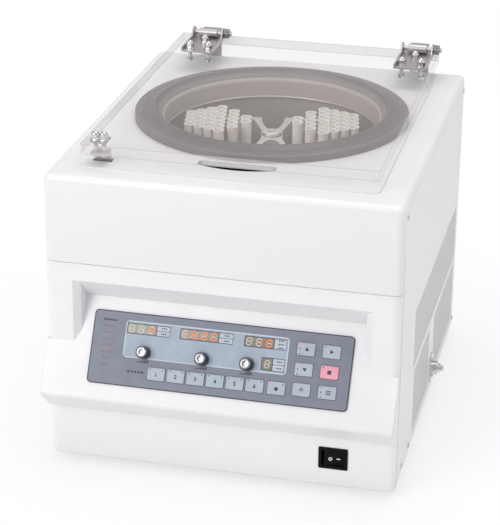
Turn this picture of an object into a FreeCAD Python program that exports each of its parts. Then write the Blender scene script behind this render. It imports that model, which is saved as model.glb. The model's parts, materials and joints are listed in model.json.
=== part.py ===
import FreeCAD, Part
import math
import os

# A bench refrigerated centrifuge with a clear hinged lid, a swing-out rotor and a sloping console.
# Working frame while it is built: x = 0 at the casing's middle, y = 0 at its front plane and
# z = 0 at the surface it stands on. Millimetres, +Z up, the console faces -Y.
# Heights that end in _height are measured from the underside of the casing, above the feet.
# At the end every piece moves to the part's own frame, whose origin is the middle of the footprint.

V = FreeCAD.Vector
X_AXIS = V(1, 0, 0)
Y_AXIS = V(0, 1, 0)
Z_AXIS = V(0, 0, 1)

# Edges are picked within these tolerances, and cuts run past the faces they open by this much
same_level = 0.01
parallel = 0.999
overcut = 1.0

# Casing
casing_width = 420.0
casing_depth = 488.0
casing_height = 358.0
seam_height = 251.5
cover_wall = 3.0
sheet = 1.5
corner_radius = 9.0
top_edge_radius = 7.0
cover_skirt = 8.0
seam_gap = 0.4
fascia_wrap = 12.0
base_thickness = 2.0
base_flange = 14.0

# Feet
foot_height = 12.0
foot_radius = 14.0
foot_taper = 2.0
foot_inset_x = 40.0
foot_inset_y = 52.0

# Console: a slope that starts at a lip in front of the casing and ends in a hooded recess
lip_reach = 34.0
lip_height = 93.0
lip_radius = 4.0
under_lip_height = 63.0
slope_root_height = 151.0
hood_height = 229.5
recess_end_gap = 32.5
recess_bevel = 8.0

# Control panel, on the console's slope
panel_width = 311.0
panel_height = 87.0
panel_rise = 21.0
panel_thickness = 1.6
panel_corner = 5.0
panel_seat = 7.0
board_gap = 12.0
board_thickness = 1.6
stud_radius = 2.5
stud_edge = 1.0

# Keys
key_width = 21.0
key_height = 15.0
key_proud = 1.2
key_travel = 0.8
key_clearance = 0.4
key_corner = 1.5
key_flange = 1.2
key_flange_gap = 0.3
key_stem_radius = 3.0
key_stem_gap = 0.1
number_key_pitch = 23.6
number_key_first = -72.7
number_key_rise = 39.0
command_key_left = 100.2
command_key_right = 130.3
command_key_rises = (40.5, 63.8, 87.4)

# Displays and knobs
display_clearance = 0.2
display_thickness = 1.0
display_ledge = 0.8
display_block_inset = 1.5
display_height = 12.7
display_rise = 89.5
display_lefts = (-114.6, -50.2, 26.8)
display_widths = (35.8, 46.5, 35.5)
program_display_centre = (56.4, 65.5)
program_display_size = (13.2, 15.0)
knob_centres = (-91.0, -20.6, 33.0)
knob_rise = 62.5
knob_radius = 8.6
knob_height = 11.0
knob_gap = 0.4
knob_skirt_height = 3.3
knob_grip_radius = 7.6
knob_top_radius = 6.9
knob_edge_radius = 1.0
knob_flutes = 16
knob_flute_radius = 0.7
knob_flute_reach = 7.9
knob_flute_foot = 4.0
knob_shaft_radius = 3.0
knob_shaft_clearance = 0.6
encoder_size = 13.0
encoder_gap = 0.3

# Power switch in the front wall
switch_width = 31.0
switch_height = 24.0
switch_inset = 73.3
switch_centre_height = 36.0
switch_rim = 2.0
switch_rim_height = 1.0
switch_rim_corner = 1.5
switch_depth = 26.0
switch_clearance = 0.4
switch_wall = 1.6
switch_floor = 8.0
rocker_pin_depth = 9.0
rocker_tilt = 9.0
rocker_clearance = 0.4
rocker_end_room = 1.2
rocker_face_depth = 0.5
rocker_dish = 1.2
rocker_shoulder = 2.0
rocker_cam_half = 5.0
rocker_cam_reach = 4.0
rocker_pin_radius = 1.5
rocker_pin_clearance = 0.05

# Lid
lid_side_gap = 35.5
lid_front = 33.0
lid_rear_gap = 2.0
lid_thickness = 12.0
lid_lift = 16.0
lid_corner = 3.0
pad_rise = 1.5
pad_corner = 8.0
bolt_radius = 2.5
bolt_clearance = 0.2
bolt_head_radius = 4.6
bolt_head_height = 3.0
nut_radius = 5.6
nut_height = 5.0
nut_dome_radius = 4.6
washer_radius = 6.2
washer_thickness = 1.0
washer_clearance = 0.1

# Hinges, identical, both with the spring on their right side
hinge_inset_left = 40.5
hinge_inset_right = 26.5
hinge_width = 42.0
hinge_leaf_length = 76.0
hinge_leaf_rear_gap = 10.0
hinge_sheet = 2.0
hinge_pin_inset = 22.0
hinge_pin_rise = 9.0
hinge_pin_radius = 3.0
hinge_pin_clearance = 0.05
hinge_ear_radius = 6.5
hinge_ear_front_rise = 6.0
hinge_pin_end = 1.0
pressed_clearance = 0.01
hinge_knuckle_half = 12.0
hinge_knuckle_radius = 5.5
hinge_arm_thickness = 3.0
hinge_arm_width = 24.0
hinge_arm_drop = 62.0
hinge_bolt_offsets = ((-12.4, -50.0), (12.4, -50.0), (0.5, -22.0))
spring_turns = 4
spring_wire_radius = 0.95
spring_pitch = 1.8
spring_radius = 6.4
spring_gap = 0.4
spring_pin_clearance = 0.1

# Lock: a tongue under the lid's front corner and a bolt below the deck
strike_inset = 19.5
strike_width = 19.0
strike_y = 58.0
strike_leaf = 20.0
strike_sheet = 2.5
strike_depth = 38.0
strike_bolt_spacing = 10.0
strike_window = 9.0
slot_clearance_x = 2.0
slot_clearance_y = 4.0
lock_bolt_radius = 3.6
lock_bolt_length = 38.0
lock_bolt_chamfer = 0.8
lock_bolt_clearance = 0.05
lock_bolt_gap = 1.5
lock_housing_gap = 1.0
lock_housing_end = 4.0
lock_housing_length = 44.0
lock_housing_width = 26.0
lock_housing_height = 20.0

# Chamber
chamber_y = 261.0
bowl_radius = 135.0
bowl_wall = 1.2
bowl_floor_height = 230.0
bowl_corner = 16.0
bowl_flange_radius = 152.0
shaft_hole_clearance = 5.0
deck_hole_clearance = 3.0
gasket_radius = 169.0
gasket_lip_radius = 145.0
gasket_lip_half = 1.5
gasket_lip_gap = 0.3
gasket_seat_gap = 0.3
gasket_skirt_depth = 22.0
gasket_skirt_wall = 2.1
coil_tube_radius = 4.0
coil_pitch = 16.0
coil_turns = 7
coil_clearance = 0.2
coil_riser_radius = 3.6
coil_riser_turn = 20.0
insulation_wall = 25.0
insulation_floor = 13.0

# The gasket's section as steps of (inwards from its outer edge or its lip, up from the deck)
gasket_outer_steps = ((0.0, 7.6), (1.4, 8.8), (8.0, 9.0), (9.4, 10.2), (15.6, 10.4), (17.2, 11.4))
gasket_inner_steps = ((3.0, 10.5), (5.5, 7.5), (7.5, 7.1), (9.0, 4.5), (11.5, 2.6))

# Rotor: a yoke on the drive shaft carries two swing-out buckets of tubes
rotor_turn = 11.0
swing_offset = 70.0
trunnion_height = 323.0
trunnion_radius = 4.0
trunnion_clearance = 0.05
yoke_top_height = 334.0
yoke_depth = 18.0
yoke_waist = 13.0
yoke_shoulder = 22.0
yoke_shoulder_start = 14.0
yoke_notch_half_width = 15.0
yoke_notch_floor = 18.0
arm_gap = 2.5
arm_thickness = 8.0
arm_overhang = 14.0
hub_top_height = 320.0
hub_depth = 38.0
hub_pocket_radius = 12.0
rotor_knob_radius = 10.3
rotor_knob_height = 18.5
rotor_knob_edge = 1.2
rotor_knob_socket = 6.5
rotor_knob_socket_depth = 4.0
stud_length = 9.0
shaft_stud_radius = 4.0

# Buckets and sample tubes
tube_radius = 6.5
tube_rim_radius = 6.8
tube_rim_height = 2.0
tube_length = 60.0
tube_bottom_radius = 3.9
tube_pitch = 14.2
tube_clearance = 0.3
tube_top_height = 354.0
tube_fill_drop = 3.5
tube_wall = 0.9
inner_column_pitch = 16.0
widest_column_offset = -6.0
outer_column_counts = (7, 6, 5, 4)
inner_column_counts = (5, 2)
bucket_floor = 3.0
bucket_wall = 2.4
bucket_rim_height = 310.0
bucket_corner = 8.0
bucket_outer_shoulder = 6.4
bucket_inner_shoulder = 7.4
bucket_ear_thickness = 3.0
bucket_ear_radius = 9.0
ear_clearance = 1.0

# Drive
shaft_radius = 8.0
bearing_clearance = 0.05
motor_radius = 58.0
motor_wall = 8.0
motor_bottom_height = 60.0
motor_roof_gap = 17.0
motor_flange_width = 170.0
motor_flange_thickness = 8.0
armature_clearance = 4.0
damper_radius = 12.0
damper_height = 20.0
damper_inset = 16.0
stand_height = 138.0
stand_thickness = 5.0
stand_width = 190.0
stand_leg = 20.0
stand_hole_clearance = 4.0

# Refrigeration
compressor_radius = 52.0
compressor_height = 160.0
compressor_inset_x = 90.0
compressor_inset_y = 73.0
compressor_foot = 6.0
compressor_foot_corner = 10.0
compressor_neck_radius = 31.0
compressor_dome_radius = 18.0
condenser_thickness = 28.0
condenser_gap = 10.0
condenser_rear_gap = 24.0
condenser_length = 168.0
condenser_bottom_height = 20.0
condenser_top_height = 176.0
condenser_groove = 2.0
condenser_pitch = 8.0
condenser_frame = 6.0
condenser_foot = 12.0
bend_count = 4
bend_first = 30.0
bend_pitch = 32.0
bend_radius = 9.0
bend_tube_radius = 3.5
shroud_depth = 20.0
fan_motor_depth = 6.0
fan_strut_width = 6.0
fan_strut_depth = 3.0
fan_strut_seat = 2.0
fan_gap = 0.4
fan_rear_gap = 2.4
fan_radius = 60.0
fan_tip_gap = 4.0
fan_hub_radius = 19.0
fan_blade_count = 5
fan_blade_width = 28.0
fan_blade_thickness = 1.6
fan_blade_root = 2.0
fan_blade_twist = 20.0
fan_pin_radius = 3.0
fan_pin_clearance = 0.05
pipe_radius = 4.0
pipe_bend = 12.0
drier_radius = 11.0
drier_height = 70.0
drier_dome = 5.5
drier_rise = 24.0
drier_inset_x = 60.0
drier_y = 200.0
line_rise = 30.0
line_tail = 20.0
line_front_gap = 28.0
suction_aside = 16.0
suction_reach = 85.0
suction_tail = 20.0
suction_drop = 12.0

# Electrics
power_board_inset_x = 24.0
power_board_inset_y = 55.0
power_board_width = 120.0
power_board_depth = 92.0
power_board_rise = 8.0
standoff_radius = 3.0
standoff_inset = 8.0
heat_sink_inset = 12.0
heat_sink_width = 36.0
heat_sink_base = 4.4
heat_sink_height = 32.4
fin_count = 6
fin_pitch = 6.0
fin_thickness = 2.0
capacitor_count = 3
capacitor_radius = 10.0
capacitor_height = 36.0
capacitor_x = 84.0
capacitor_y = 20.0
capacitor_pitch = 26.0
inlet_width = 27.0
inlet_height = 20.0
inlet_inset = 90.0
inlet_centre_height = 60.0
inlet_depth = 24.0
inlet_flange = 8.0
inlet_flange_rise = 3.0
inlet_flange_thickness = 2.5
inlet_corner = 3.0
inlet_wall = 1.5
inlet_floor = 7.0
blade_width = 2.0
blade_height = 4.0
blade_spacing = 7.0
blade_rise = 4.5
blade_drop = 2.0

# Side vents: three fields of upright slots in each side panel
vent_slot = 3.5
vent_slot_corner = 1.6
vent_pitch = 7.0
upper_vent = (118.0, 470.0, 106.0, 181.0)
lower_front_vent = (126.0, 258.0, 14.0, 98.0)
lower_rear_vent = (290.0, 470.0, 14.0, 98.0)
rear_vent = (-130.0, -20.0, 150.0, 210.0)

# Drain port in the right side
drain_y = 272.0
drain_height = 32.0
drain_flange_height = 40.0
drain_flange_width = 19.0
drain_flange_thickness = 2.5
drain_body_radius = 9.0
drain_body_length = 7.0
drain_collar_radius = 5.9
drain_collar_length = 3.0
drain_reach = 17.0
drain_nipple_radius = 4.0
drain_nipple_chamfer = 1.0
drain_spigot_radius = 4.6
drain_spigot_length = 10.0
drain_bore_radius = 2.4
drain_hole_clearance = 0.4
drain_bolt_radius = 3.0
drain_bolt_height = 2.0

# Screws
screw_radius = 1.6
screw_head_radius = 3.4
screw_head_height = 1.2
screw_clearance = 0.2
screw_edge = 5.0
screw_front_edge = 8.0
screw_level_inset = 10.0
lower_screw_steps = (28.0, 80.0)
screw_slot_width = 0.9
screw_slot_length = 4.4
screw_slot_depth = 0.7
side_screw_length = 11.0
hinge_screw_length = 9.0
hinge_screw_drops = (16.0, 42.0)

# Finger cup in the deck, below the lid's front edge
cup_front = 63.0
cup_rear = 85.0
cup_half_width = 46.0
cup_front_radius = 114.0
cup_depth = 14.0
cup_wall = 1.5
cup_flange = 3.0
cup_clearance = 0.2

# The origin is rounded to a hundredth of a millimetre
origin_decimals = 2

# Levels and planes that follow from the sizes above
casing_bottom = foot_height
deck = casing_bottom + casing_height
seam = casing_bottom + seam_height
half_width = casing_width / 2
recess_half_width = half_width - recess_end_gap
switch_x = half_width - switch_inset
switch_z = casing_bottom + switch_centre_height
inlet_x = half_width - inlet_inset
inlet_z = casing_bottom + inlet_centre_height
pad_top = deck + pad_rise
lid_bottom = deck + lid_lift
lid_top = lid_bottom + lid_thickness
lid_width = casing_width - 2 * lid_side_gap
lid_rear = casing_depth - lid_rear_gap
strike_x = strike_inset - lid_width / 2
lock_axis_z = deck - cover_wall - lock_housing_height / 2
hinge_centres = (hinge_inset_left - lid_width / 2, lid_width / 2 - hinge_inset_right)
hinge_pin_y = casing_depth - hinge_pin_inset
hinge_leaf_rear = casing_depth - hinge_leaf_rear_gap
hinge_leaf_front = hinge_leaf_rear - hinge_leaf_length
lip_z = casing_bottom + lip_height
under_lip_z = casing_bottom + under_lip_height
slope_root_z = casing_bottom + slope_root_height
hood_z = casing_bottom + hood_height
bowl_floor = casing_bottom + bowl_floor_height
bowl_flange_top = pad_top + bowl_wall
base_top = casing_bottom + base_thickness
side_top = deck - cover_skirt
trunnion_z = casing_bottom + trunnion_height
tube_top = casing_bottom + tube_top_height
tube_bottom = tube_top - tube_length
bucket_bottom = tube_bottom - bucket_floor
bucket_rim = casing_bottom + bucket_rim_height
yoke_top = casing_bottom + yoke_top_height
hub_top = casing_bottom + hub_top_height
outer_column_pitch = tube_pitch * math.sin(math.radians(60))
widest_column_half = (outer_column_counts[0] - 1) / 2 * tube_pitch
bucket_half_length = widest_column_half + tube_rim_radius + ear_clearance + bucket_ear_thickness
arm_inner = bucket_half_length + arm_gap
arm_outer = arm_inner + arm_thickness
coil_radius = bowl_radius + bowl_wall + coil_clearance + coil_tube_radius
insulation_inner = coil_radius + coil_tube_radius + coil_clearance
insulation_radius = insulation_inner + insulation_wall
insulation_top = deck - cover_wall - seam_gap
insulation_bottom = bowl_floor - insulation_floor
stand_top = casing_bottom + stand_height
motor_flange_bottom = stand_top + damper_height
motor_bottom = casing_bottom + motor_bottom_height
motor_top = insulation_bottom - motor_roof_gap
compressor_x = compressor_inset_x - half_width
compressor_y = casing_depth - compressor_inset_y
condenser_x = half_width - sheet - condenser_gap - condenser_thickness
condenser_rear = casing_depth - condenser_rear_gap
condenser_front = condenser_rear - condenser_length
condenser_bottom = casing_bottom + condenser_bottom_height
condenser_top = casing_bottom + condenser_top_height
fan_y = (condenser_front + condenser_rear) / 2
fan_z = (condenser_bottom + condenser_top) / 2
drier_x = half_width - drier_inset_x
drain_z = casing_bottom + drain_height
hinge_pin_z = lid_top + hinge_pin_rise
spring_length = 2 * spring_wire_radius * (spring_turns + 1)
slope_angle = math.degrees(math.atan2(slope_root_z - lip_z, lip_reach))
slope_run = math.tan(math.radians(slope_angle))
recess_depth = (hood_z - slope_root_z) / (slope_run + 1)


# General shapes

def box(low, high):
    size = V(*high) - V(*low)
    return Part.makeBox(size.x, size.y, size.z, V(*low))


def rod(start, radius, length, axis=Z_AXIS):
    return Part.makeCylinder(radius, length, V(*start), axis)


def prism_along_x(points, x_low, x_high):
    """A (y, z) outline drawn out from x_low to x_high."""
    wire = Part.makePolygon([V(x_low, y, z) for y, z in points + points[:1]])
    return Part.Face(wire).extrude(V(x_high - x_low, 0, 0))


def prism_along_z(points, z_low, z_high):
    """An (x, y) outline drawn up from z_low to z_high."""
    wire = Part.makePolygon([V(x, y, z_low) for x, y in points + points[:1]])
    return Part.Face(wire).extrude(V(0, 0, z_high - z_low))


def turned(points, centre_x, centre_y):
    """A closed (radius, z) outline turned about an upright axis."""
    wire = Part.makePolygon([V(r, 0, z) for r, z in points + points[:1]])
    solid = Part.Face(wire).revolve(V(0, 0, 0), Z_AXIS, 360)
    solid.translate(V(centre_x, centre_y, 0))
    return solid


def edges_along(shape, axis):
    """The straight edges of a shape that run along an axis."""
    found = []
    for edge in shape.Edges:
        if not isinstance(edge.Curve, Part.Line):
            continue
        if abs(edge.tangentAt(edge.FirstParameter).dot(axis)) > parallel:
            found.append(edge)
    return found


def edges_at(shape, z):
    """The edges of a shape that lie at one height."""
    found = []
    for edge in shape.Edges:
        bounds = edge.BoundBox
        if abs(bounds.ZMin - z) < same_level and abs(bounds.ZMax - z) < same_level:
            found.append(edge)
    return found


def rounded_box(low, high, radius, axis=Z_AXIS):
    """A box whose edges along one axis are rounded."""
    solid = box(low, high)
    return solid.makeFillet(radius, edges_along(solid, axis))


def hexagon(centre_x, centre_y, z_low, z_high, radius):
    corners = [math.radians(60 * i) for i in range(6)]
    outline = [(centre_x + radius * math.cos(a), centre_y + radius * math.sin(a)) for a in corners]
    return prism_along_z(outline, z_low, z_high)


def group(solids):
    return Part.makeCompound(solids)


def fused(solids):
    return solids[0].fuse(solids[1:]).removeSplitter()


def about_rotor(shape, angle):
    """A copy of a shape turned about the rotor's axis."""
    copy = shape.copy()
    copy.rotate(V(0, chamber_y, 0), Z_AXIS, angle)
    return copy


def pipe(points, radius, bend):
    """A round pipe along straight runs with a tangent arc at every corner."""
    corners = [V(*p) for p in points]
    edges = []
    start = corners[0]
    for before, corner, after in zip(corners, corners[1:], corners[2:]):
        back = (before - corner).normalize()
        ahead = (after - corner).normalize()
        half = back.getAngle(ahead) / 2
        trim = bend / math.tan(half)
        arc_start = corner + back * trim
        arc_end = corner + ahead * trim
        middle_ray = (back + ahead).normalize()
        arc_middle = corner + middle_ray * (bend / math.sin(half) - bend)
        edges.append(Part.LineSegment(start, arc_start).toShape())
        edges.append(Part.Arc(arc_start, arc_middle, arc_end).toShape())
        start = arc_end
    edges.append(Part.LineSegment(start, corners[-1]).toShape())
    path = Part.Wire(edges)
    first = (corners[1] - corners[0]).normalize()
    section = Part.Wire([Part.makeCircle(radius, corners[0], first)])
    return path.makePipeShell([section], True, False)


# Casing

def casing_block(z_low, z_high, inset):
    """The casing's plan with rounded corners, moved in by a wall."""
    low = (-half_width + inset, inset, z_low)
    high = (half_width - inset, casing_depth - inset, z_high)
    return rounded_box(low, high, corner_radius - inset)


def console_block(inset):
    """The casing's front with the console's wedge, before its hooded recess is cut."""
    below = 2 * cover_wall if inset else 0
    z_low = casing_bottom - below
    z_high = seam - seam_gap + below
    outline = [
        (corner_radius, under_lip_z),
        (0, under_lip_z),
        (-lip_reach, lip_z),
        (0, slope_root_z),
        (corner_radius, slope_root_z),
    ]
    wedge = prism_along_x(outline, -half_width, half_width)
    lip_edges = [e for e in edges_along(wedge, X_AXIS) if e.CenterOfMass.y < -lip_reach / 2]
    wedge = wedge.makeFillet(lip_radius, lip_edges)
    if inset:
        between_walls = box((-half_width + inset, -lip_reach, 0), (half_width - inset, casing_depth, deck))
        wedge = wedge.common(between_walls)
        wedge.translate(V(0, inset / math.sin(math.radians(slope_angle)), 0))
    return casing_block(z_low, z_high, inset).fuse(wedge)


def recess_block(grow):
    """The hooded recess above the slope: a wedge with bevelled ends, made larger for its shell."""
    front = -lip_reach
    root = grow / math.cos(math.radians(slope_angle))
    foot_z = slope_root_z - root
    slope_front_z = foot_z + front * slope_run
    top_z = hood_z + grow * math.sqrt(2)
    back = (top_z - foot_z) / (slope_run + 1)
    outline = [(front, slope_front_z), (back, foot_z + back * slope_run), (front, top_z - front)]
    inner = recess_half_width - recess_bevel + grow
    outer = recess_half_width + grow
    bevel_end = recess_bevel
    plan = [(-outer, 0), (-inner, bevel_end), (-inner, casing_depth / 2), (inner, casing_depth / 2),
            (inner, bevel_end), (outer, 0)]
    profile = prism_along_x(outline, -half_width, half_width)
    return profile.common(prism_along_z(plan, casing_bottom, deck))


def on_slope(shape):
    """Moves a piece drawn flat (x across, y up the slope, z outwards) onto the console's slope."""
    placed = shape.copy()
    placed.rotate(V(0, 0, 0), X_AXIS, slope_angle)
    placed.translate(V(0, -lip_reach, lip_z))
    return placed


def switch_box(grow, y_low, y_high):
    """The power switch's rectangle, made larger all round, between two planes."""
    half_x = switch_width / 2 + grow
    half_z = switch_height / 2 + grow
    low = (switch_x - half_x, y_low, switch_z - half_z)
    return box(low, (switch_x + half_x, y_high, switch_z + half_z))


def front_fascia():
    outer = console_block(0).cut(recess_block(0))
    inner = console_block(cover_wall).cut(recess_block(cover_wall))
    shell = outer.cut(inner)
    wrap = box((-half_width, -lip_reach, casing_bottom), (half_width, fascia_wrap, seam))
    pocket_half = recess_half_width + cover_wall
    pocket_high = (pocket_half, recess_depth + 4 * cover_wall, hood_z + 2 * cover_wall)
    pocket = box((-pocket_half, 0, slope_root_z - lip_reach), pocket_high)
    shell = shell.common(wrap.fuse(pocket))
    window_low = (-panel_width / 2 + panel_seat, panel_rise + panel_seat, -3 * cover_wall)
    window_high = (panel_width / 2 - panel_seat, panel_rise + panel_height - panel_seat, cover_wall)
    shell = shell.cut(on_slope(rounded_box(window_low, window_high, panel_corner)))
    return shell.cut(switch_box(0, -lip_reach, casing_depth / 4))


def chamber_rod(radius, z_low, z_high):
    return rod((0, chamber_y, z_low), radius, z_high - z_low)


def lock_slot():
    half = strike_width / 2 + slot_clearance_x
    low = (strike_x - half, strike_y - slot_clearance_y, side_top)
    high = (strike_x + half, strike_y + strike_sheet + slot_clearance_y, lid_bottom)
    return box(low, high)


def cup_plan(grow, z_low, z_high):
    """The finger cup's outline: an arc in front and a straight back."""
    disc = rod((0, cup_front + cup_front_radius, z_low), cup_front_radius + grow, z_high - z_low)
    low = (-cup_half_width - grow, cup_front - grow, z_low)
    high = (cup_half_width + grow, cup_rear + grow, z_high)
    return disc.common(rounded_box(low, high, cup_wall + cup_flange))


def finger_cup():
    """A black cup set into the deck, for the fingers that lift the lid."""
    bottom = pad_top - cup_depth
    body = cup_plan(0, bottom, pad_top)
    under_deck = deck - cover_wall
    flange = cup_plan(cup_flange, under_deck - cup_wall, under_deck)
    hollow = cup_plan(-cup_wall, bottom + cup_wall, pad_top)
    return body.fuse(flange).removeSplitter().cut(hollow)


def top_cover():
    block = casing_block(seam, deck, 0)
    block = block.makeFillet(top_edge_radius, edges_at(block, deck))
    cover = block.cut(casing_block(seam, deck - cover_wall, cover_wall))
    opening_low = (-half_width, fascia_wrap, seam)
    opening_high = (half_width, casing_depth, side_top)
    cover = cover.cut(box(opening_low, opening_high))
    pad_low = (-lid_width / 2, lid_front, deck - cover_wall)
    pad_high = (lid_width / 2, lid_rear - pad_corner, pad_top)
    cover = cover.fuse(rounded_box(pad_low, pad_high, pad_corner)).removeSplitter()
    hole = chamber_rod(bowl_radius + bowl_wall + deck_hole_clearance, seam, lid_bottom)
    return cover.cut([hole, lock_slot(), cup_plan(cup_clearance, side_top, lid_bottom)])


def slot_field(field, x_low, x_high):
    """Upright slots over one field of a side panel: y from, y to, height from, height to."""
    y_low, y_high, height_low, height_high = field
    count = int((y_high - y_low) / vent_pitch)
    slots = []
    for i in range(count):
        y = y_low + i * vent_pitch
        low = (x_low, y, casing_bottom + height_low)
        high = (x_high, y + vent_slot, casing_bottom + height_high)
        slots.append(rounded_box(low, high, vent_slot_corner, X_AXIS))
    return slots


def screw_places():
    """Panel screws, as (y, z) on each side."""
    front = fascia_wrap + screw_front_edge
    rear = casing_depth - corner_radius - screw_edge
    low = casing_bottom + screw_level_inset
    high = side_top - screw_level_inset
    return [(front, high), (rear, high), (rear, low)] + [(front + step, low) for step in lower_screw_steps]


def side_panel(side):
    """A folded sheet with vents; side is -1 for the left one and 1 for the right one."""
    outer = side * half_width
    inner = side * (half_width - sheet)
    flange = side * (half_width - base_flange)
    x_low, x_high = sorted((outer, inner))
    f_low, f_high = sorted((outer, flange))
    y_low = fascia_wrap + seam_gap
    y_high = casing_depth - corner_radius
    wall = box((x_low, y_low, base_top), (x_high, y_high, side_top - seam_gap))
    foot = box((f_low, y_low, base_top), (f_high, y_high, base_top + sheet))
    panel = wall.fuse(foot).removeSplitter()
    cut_low = min(x_low, x_high) - sheet
    cut_high = max(x_low, x_high) + sheet
    cuts = []
    for field in (upper_vent, lower_front_vent, lower_rear_vent):
        cuts.extend(slot_field(field, cut_low, cut_high))
    for y, z in screw_places():
        cuts.append(rod((cut_low, y, z), screw_radius + screw_clearance, cut_high - cut_low, X_AXIS))
    if side > 0:
        hole_radius = drain_spigot_radius + drain_hole_clearance
        cuts.append(rod((cut_low, drain_y, drain_z), hole_radius, cut_high - cut_low, X_AXIS))
    return panel.cut(cuts)


def screw(seat, outwards, length):
    """A round-headed screw with a cross slot, its head on a seat and its shank pointing inwards."""
    head = rod(seat, screw_head_radius, screw_head_height, outwards)
    shank = rod(seat, screw_radius, length, outwards * -1)
    top = V(*seat) + outwards * screw_head_height
    across = outwards.cross(Z_AXIS)
    blades = []
    for along, beside in ((Z_AXIS, across), (across, Z_AXIS)):
        reach = along * screw_slot_length / 2 + beside * screw_slot_width / 2 + outwards * screw_slot_depth
        reach = V(abs(reach.x), abs(reach.y), abs(reach.z))
        blades.append(box(top - reach, top + reach))
    return head.fuse(shank).removeSplitter().cut(fused(blades))


def hinge_screw_places():
    """The screws that hold each hinge base to the rear panel, as (x, z)."""
    return [(x, deck - drop) for x in hinge_centres for drop in hinge_screw_drops]


def panel_screws():
    screws = []
    for y, z in screw_places():
        for side in (-1, 1):
            screws.append(screw((side * half_width, y, z), X_AXIS * side, side_screw_length))
    rear = casing_depth + hinge_arm_thickness
    for x, z in hinge_screw_places():
        screws.append(screw((x, rear, z), Y_AXIS, hinge_screw_length))
    return group(screws)


def base_plate():
    """The floor of the casing, narrower between the fascia's wraps, with a flange up the back."""
    front_part = casing_block(casing_bottom, base_top, cover_wall + seam_gap)
    rear_part = casing_block(casing_bottom, base_top, sheet + seam_gap)
    wrap_end = fascia_wrap + seam_gap
    behind_wraps = box((-half_width, wrap_end, casing_bottom), (half_width, casing_depth, base_top))
    flange_x = half_width - corner_radius - seam_gap
    flange_y = casing_depth - sheet - seam_gap
    flange_low = (-flange_x, flange_y - base_thickness, casing_bottom)
    flange = box(flange_low, (flange_x, flange_y, casing_bottom + base_flange))
    return fused([front_part, rear_part.common(behind_wraps), flange])


def feet():
    pads = []
    for x in (-half_width + foot_inset_x, half_width - foot_inset_x):
        for y in (foot_inset_y, casing_depth - foot_inset_y):
            pads.append(Part.makeCone(foot_radius - foot_taper, foot_radius, foot_height, V(x, y, 0), Z_AXIS))
    return group(pads)


def inlet_box(grow, y_low, y_high):
    half_x = inlet_width / 2 + grow
    half_z = inlet_height / 2 + grow
    return box((inlet_x - half_x, y_low, inlet_z - half_z), (inlet_x + half_x, y_high, inlet_z + half_z))


def rear_panel():
    low = (-half_width + corner_radius, casing_depth - sheet, casing_bottom)
    high = (half_width - corner_radius, casing_depth, side_top - seam_gap)
    panel = box(low, high)
    corners = []
    for side in (-1, 1):
        x_low, x_high = sorted((side * (half_width - corner_radius), side * half_width))
        post_top = side_top - seam_gap
        post = casing_block(base_top, post_top, 0).cut(casing_block(base_top, post_top, sheet))
        corner_low = (x_low, casing_depth - corner_radius, base_top)
        corners.append(post.common(box(corner_low, (x_high, casing_depth, deck))))
    panel = panel.fuse(corners).removeSplitter()
    cuts = [inlet_box(switch_clearance, casing_depth - inlet_depth, casing_depth + inlet_depth)]
    x_low, x_high, height_low, height_high = rear_vent
    for i in range(int((x_high - x_low) / vent_pitch)):
        x = x_low + i * vent_pitch
        slot_low = (x, casing_depth - 2 * sheet, casing_bottom + height_low)
        slot_high = (x + vent_slot, casing_depth + sheet, casing_bottom + height_high)
        cuts.append(box(slot_low, slot_high))
    for x, z in hinge_screw_places():
        cuts.append(rod((x, casing_depth - 2 * sheet, z), screw_radius + screw_clearance, 3 * sheet, Y_AXIS))
    return panel.cut(cuts)


# Console pieces

def key_layout():
    """Every key's name with its centre across and up the slope."""
    keys = {}
    for i in range(6):
        keys[f"key_{i + 1}"] = (number_key_first + i * number_key_pitch, number_key_rise)
    keys["key_memory"] = (number_key_first + 6 * number_key_pitch + 2, number_key_rise)
    for name, rise in zip(("key_special", "key_decelerate", "key_accelerate"), command_key_rises):
        keys[name] = (command_key_left, rise)
    for name, rise in zip(("key_mode", "key_stop", "key_start"), command_key_rises):
        keys[name] = (command_key_right, rise)
    return keys


def key_block(centre, grow, z_low, z_high):
    x, y = centre
    low = (x - key_width / 2 - grow, y - key_height / 2 - grow, z_low)
    high = (x + key_width / 2 + grow, y + key_height / 2 + grow, z_high)
    return rounded_box(low, high, key_corner)


def key(centre):
    flange_top = -key_flange_gap
    cap = key_block(centre, 0, flange_top - key_flange, panel_thickness + key_proud)
    cap = cap.makeFillet(key_proud / 2, edges_at(cap, panel_thickness + key_proud))
    flange = key_block(centre, key_flange, flange_top - key_flange, flange_top)
    stem_bottom = -board_gap + key_travel + key_stem_gap
    stem = rod((centre[0], centre[1], stem_bottom), key_stem_radius, flange_top - stem_bottom)
    return on_slope(fused([cap, flange, stem]))


def display_blocks(grow, z_low, z_high):
    """The four display windows' outlines as blocks."""
    blocks = []
    for left, width in zip(display_lefts, display_widths):
        low = (left - grow, display_rise - display_height / 2 - grow, z_low)
        high = (left + width + grow, display_rise + display_height / 2 + grow, z_high)
        blocks.append(box(low, high))
    x, y = program_display_centre
    width, height = program_display_size
    low = (x - width / 2 - grow, y - height / 2 - grow, z_low)
    high = (x + width / 2 + grow, y + height / 2 + grow, z_high)
    blocks.append(box(low, high))
    return blocks


def stud_places():
    inset = panel_seat + stud_edge + stud_radius
    x = panel_width / 2 - inset
    y_low = panel_rise + inset
    y_high = panel_rise + panel_height - inset
    return [(-x, y_low), (-x, y_high), (x, y_low), (x, y_high)]


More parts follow.
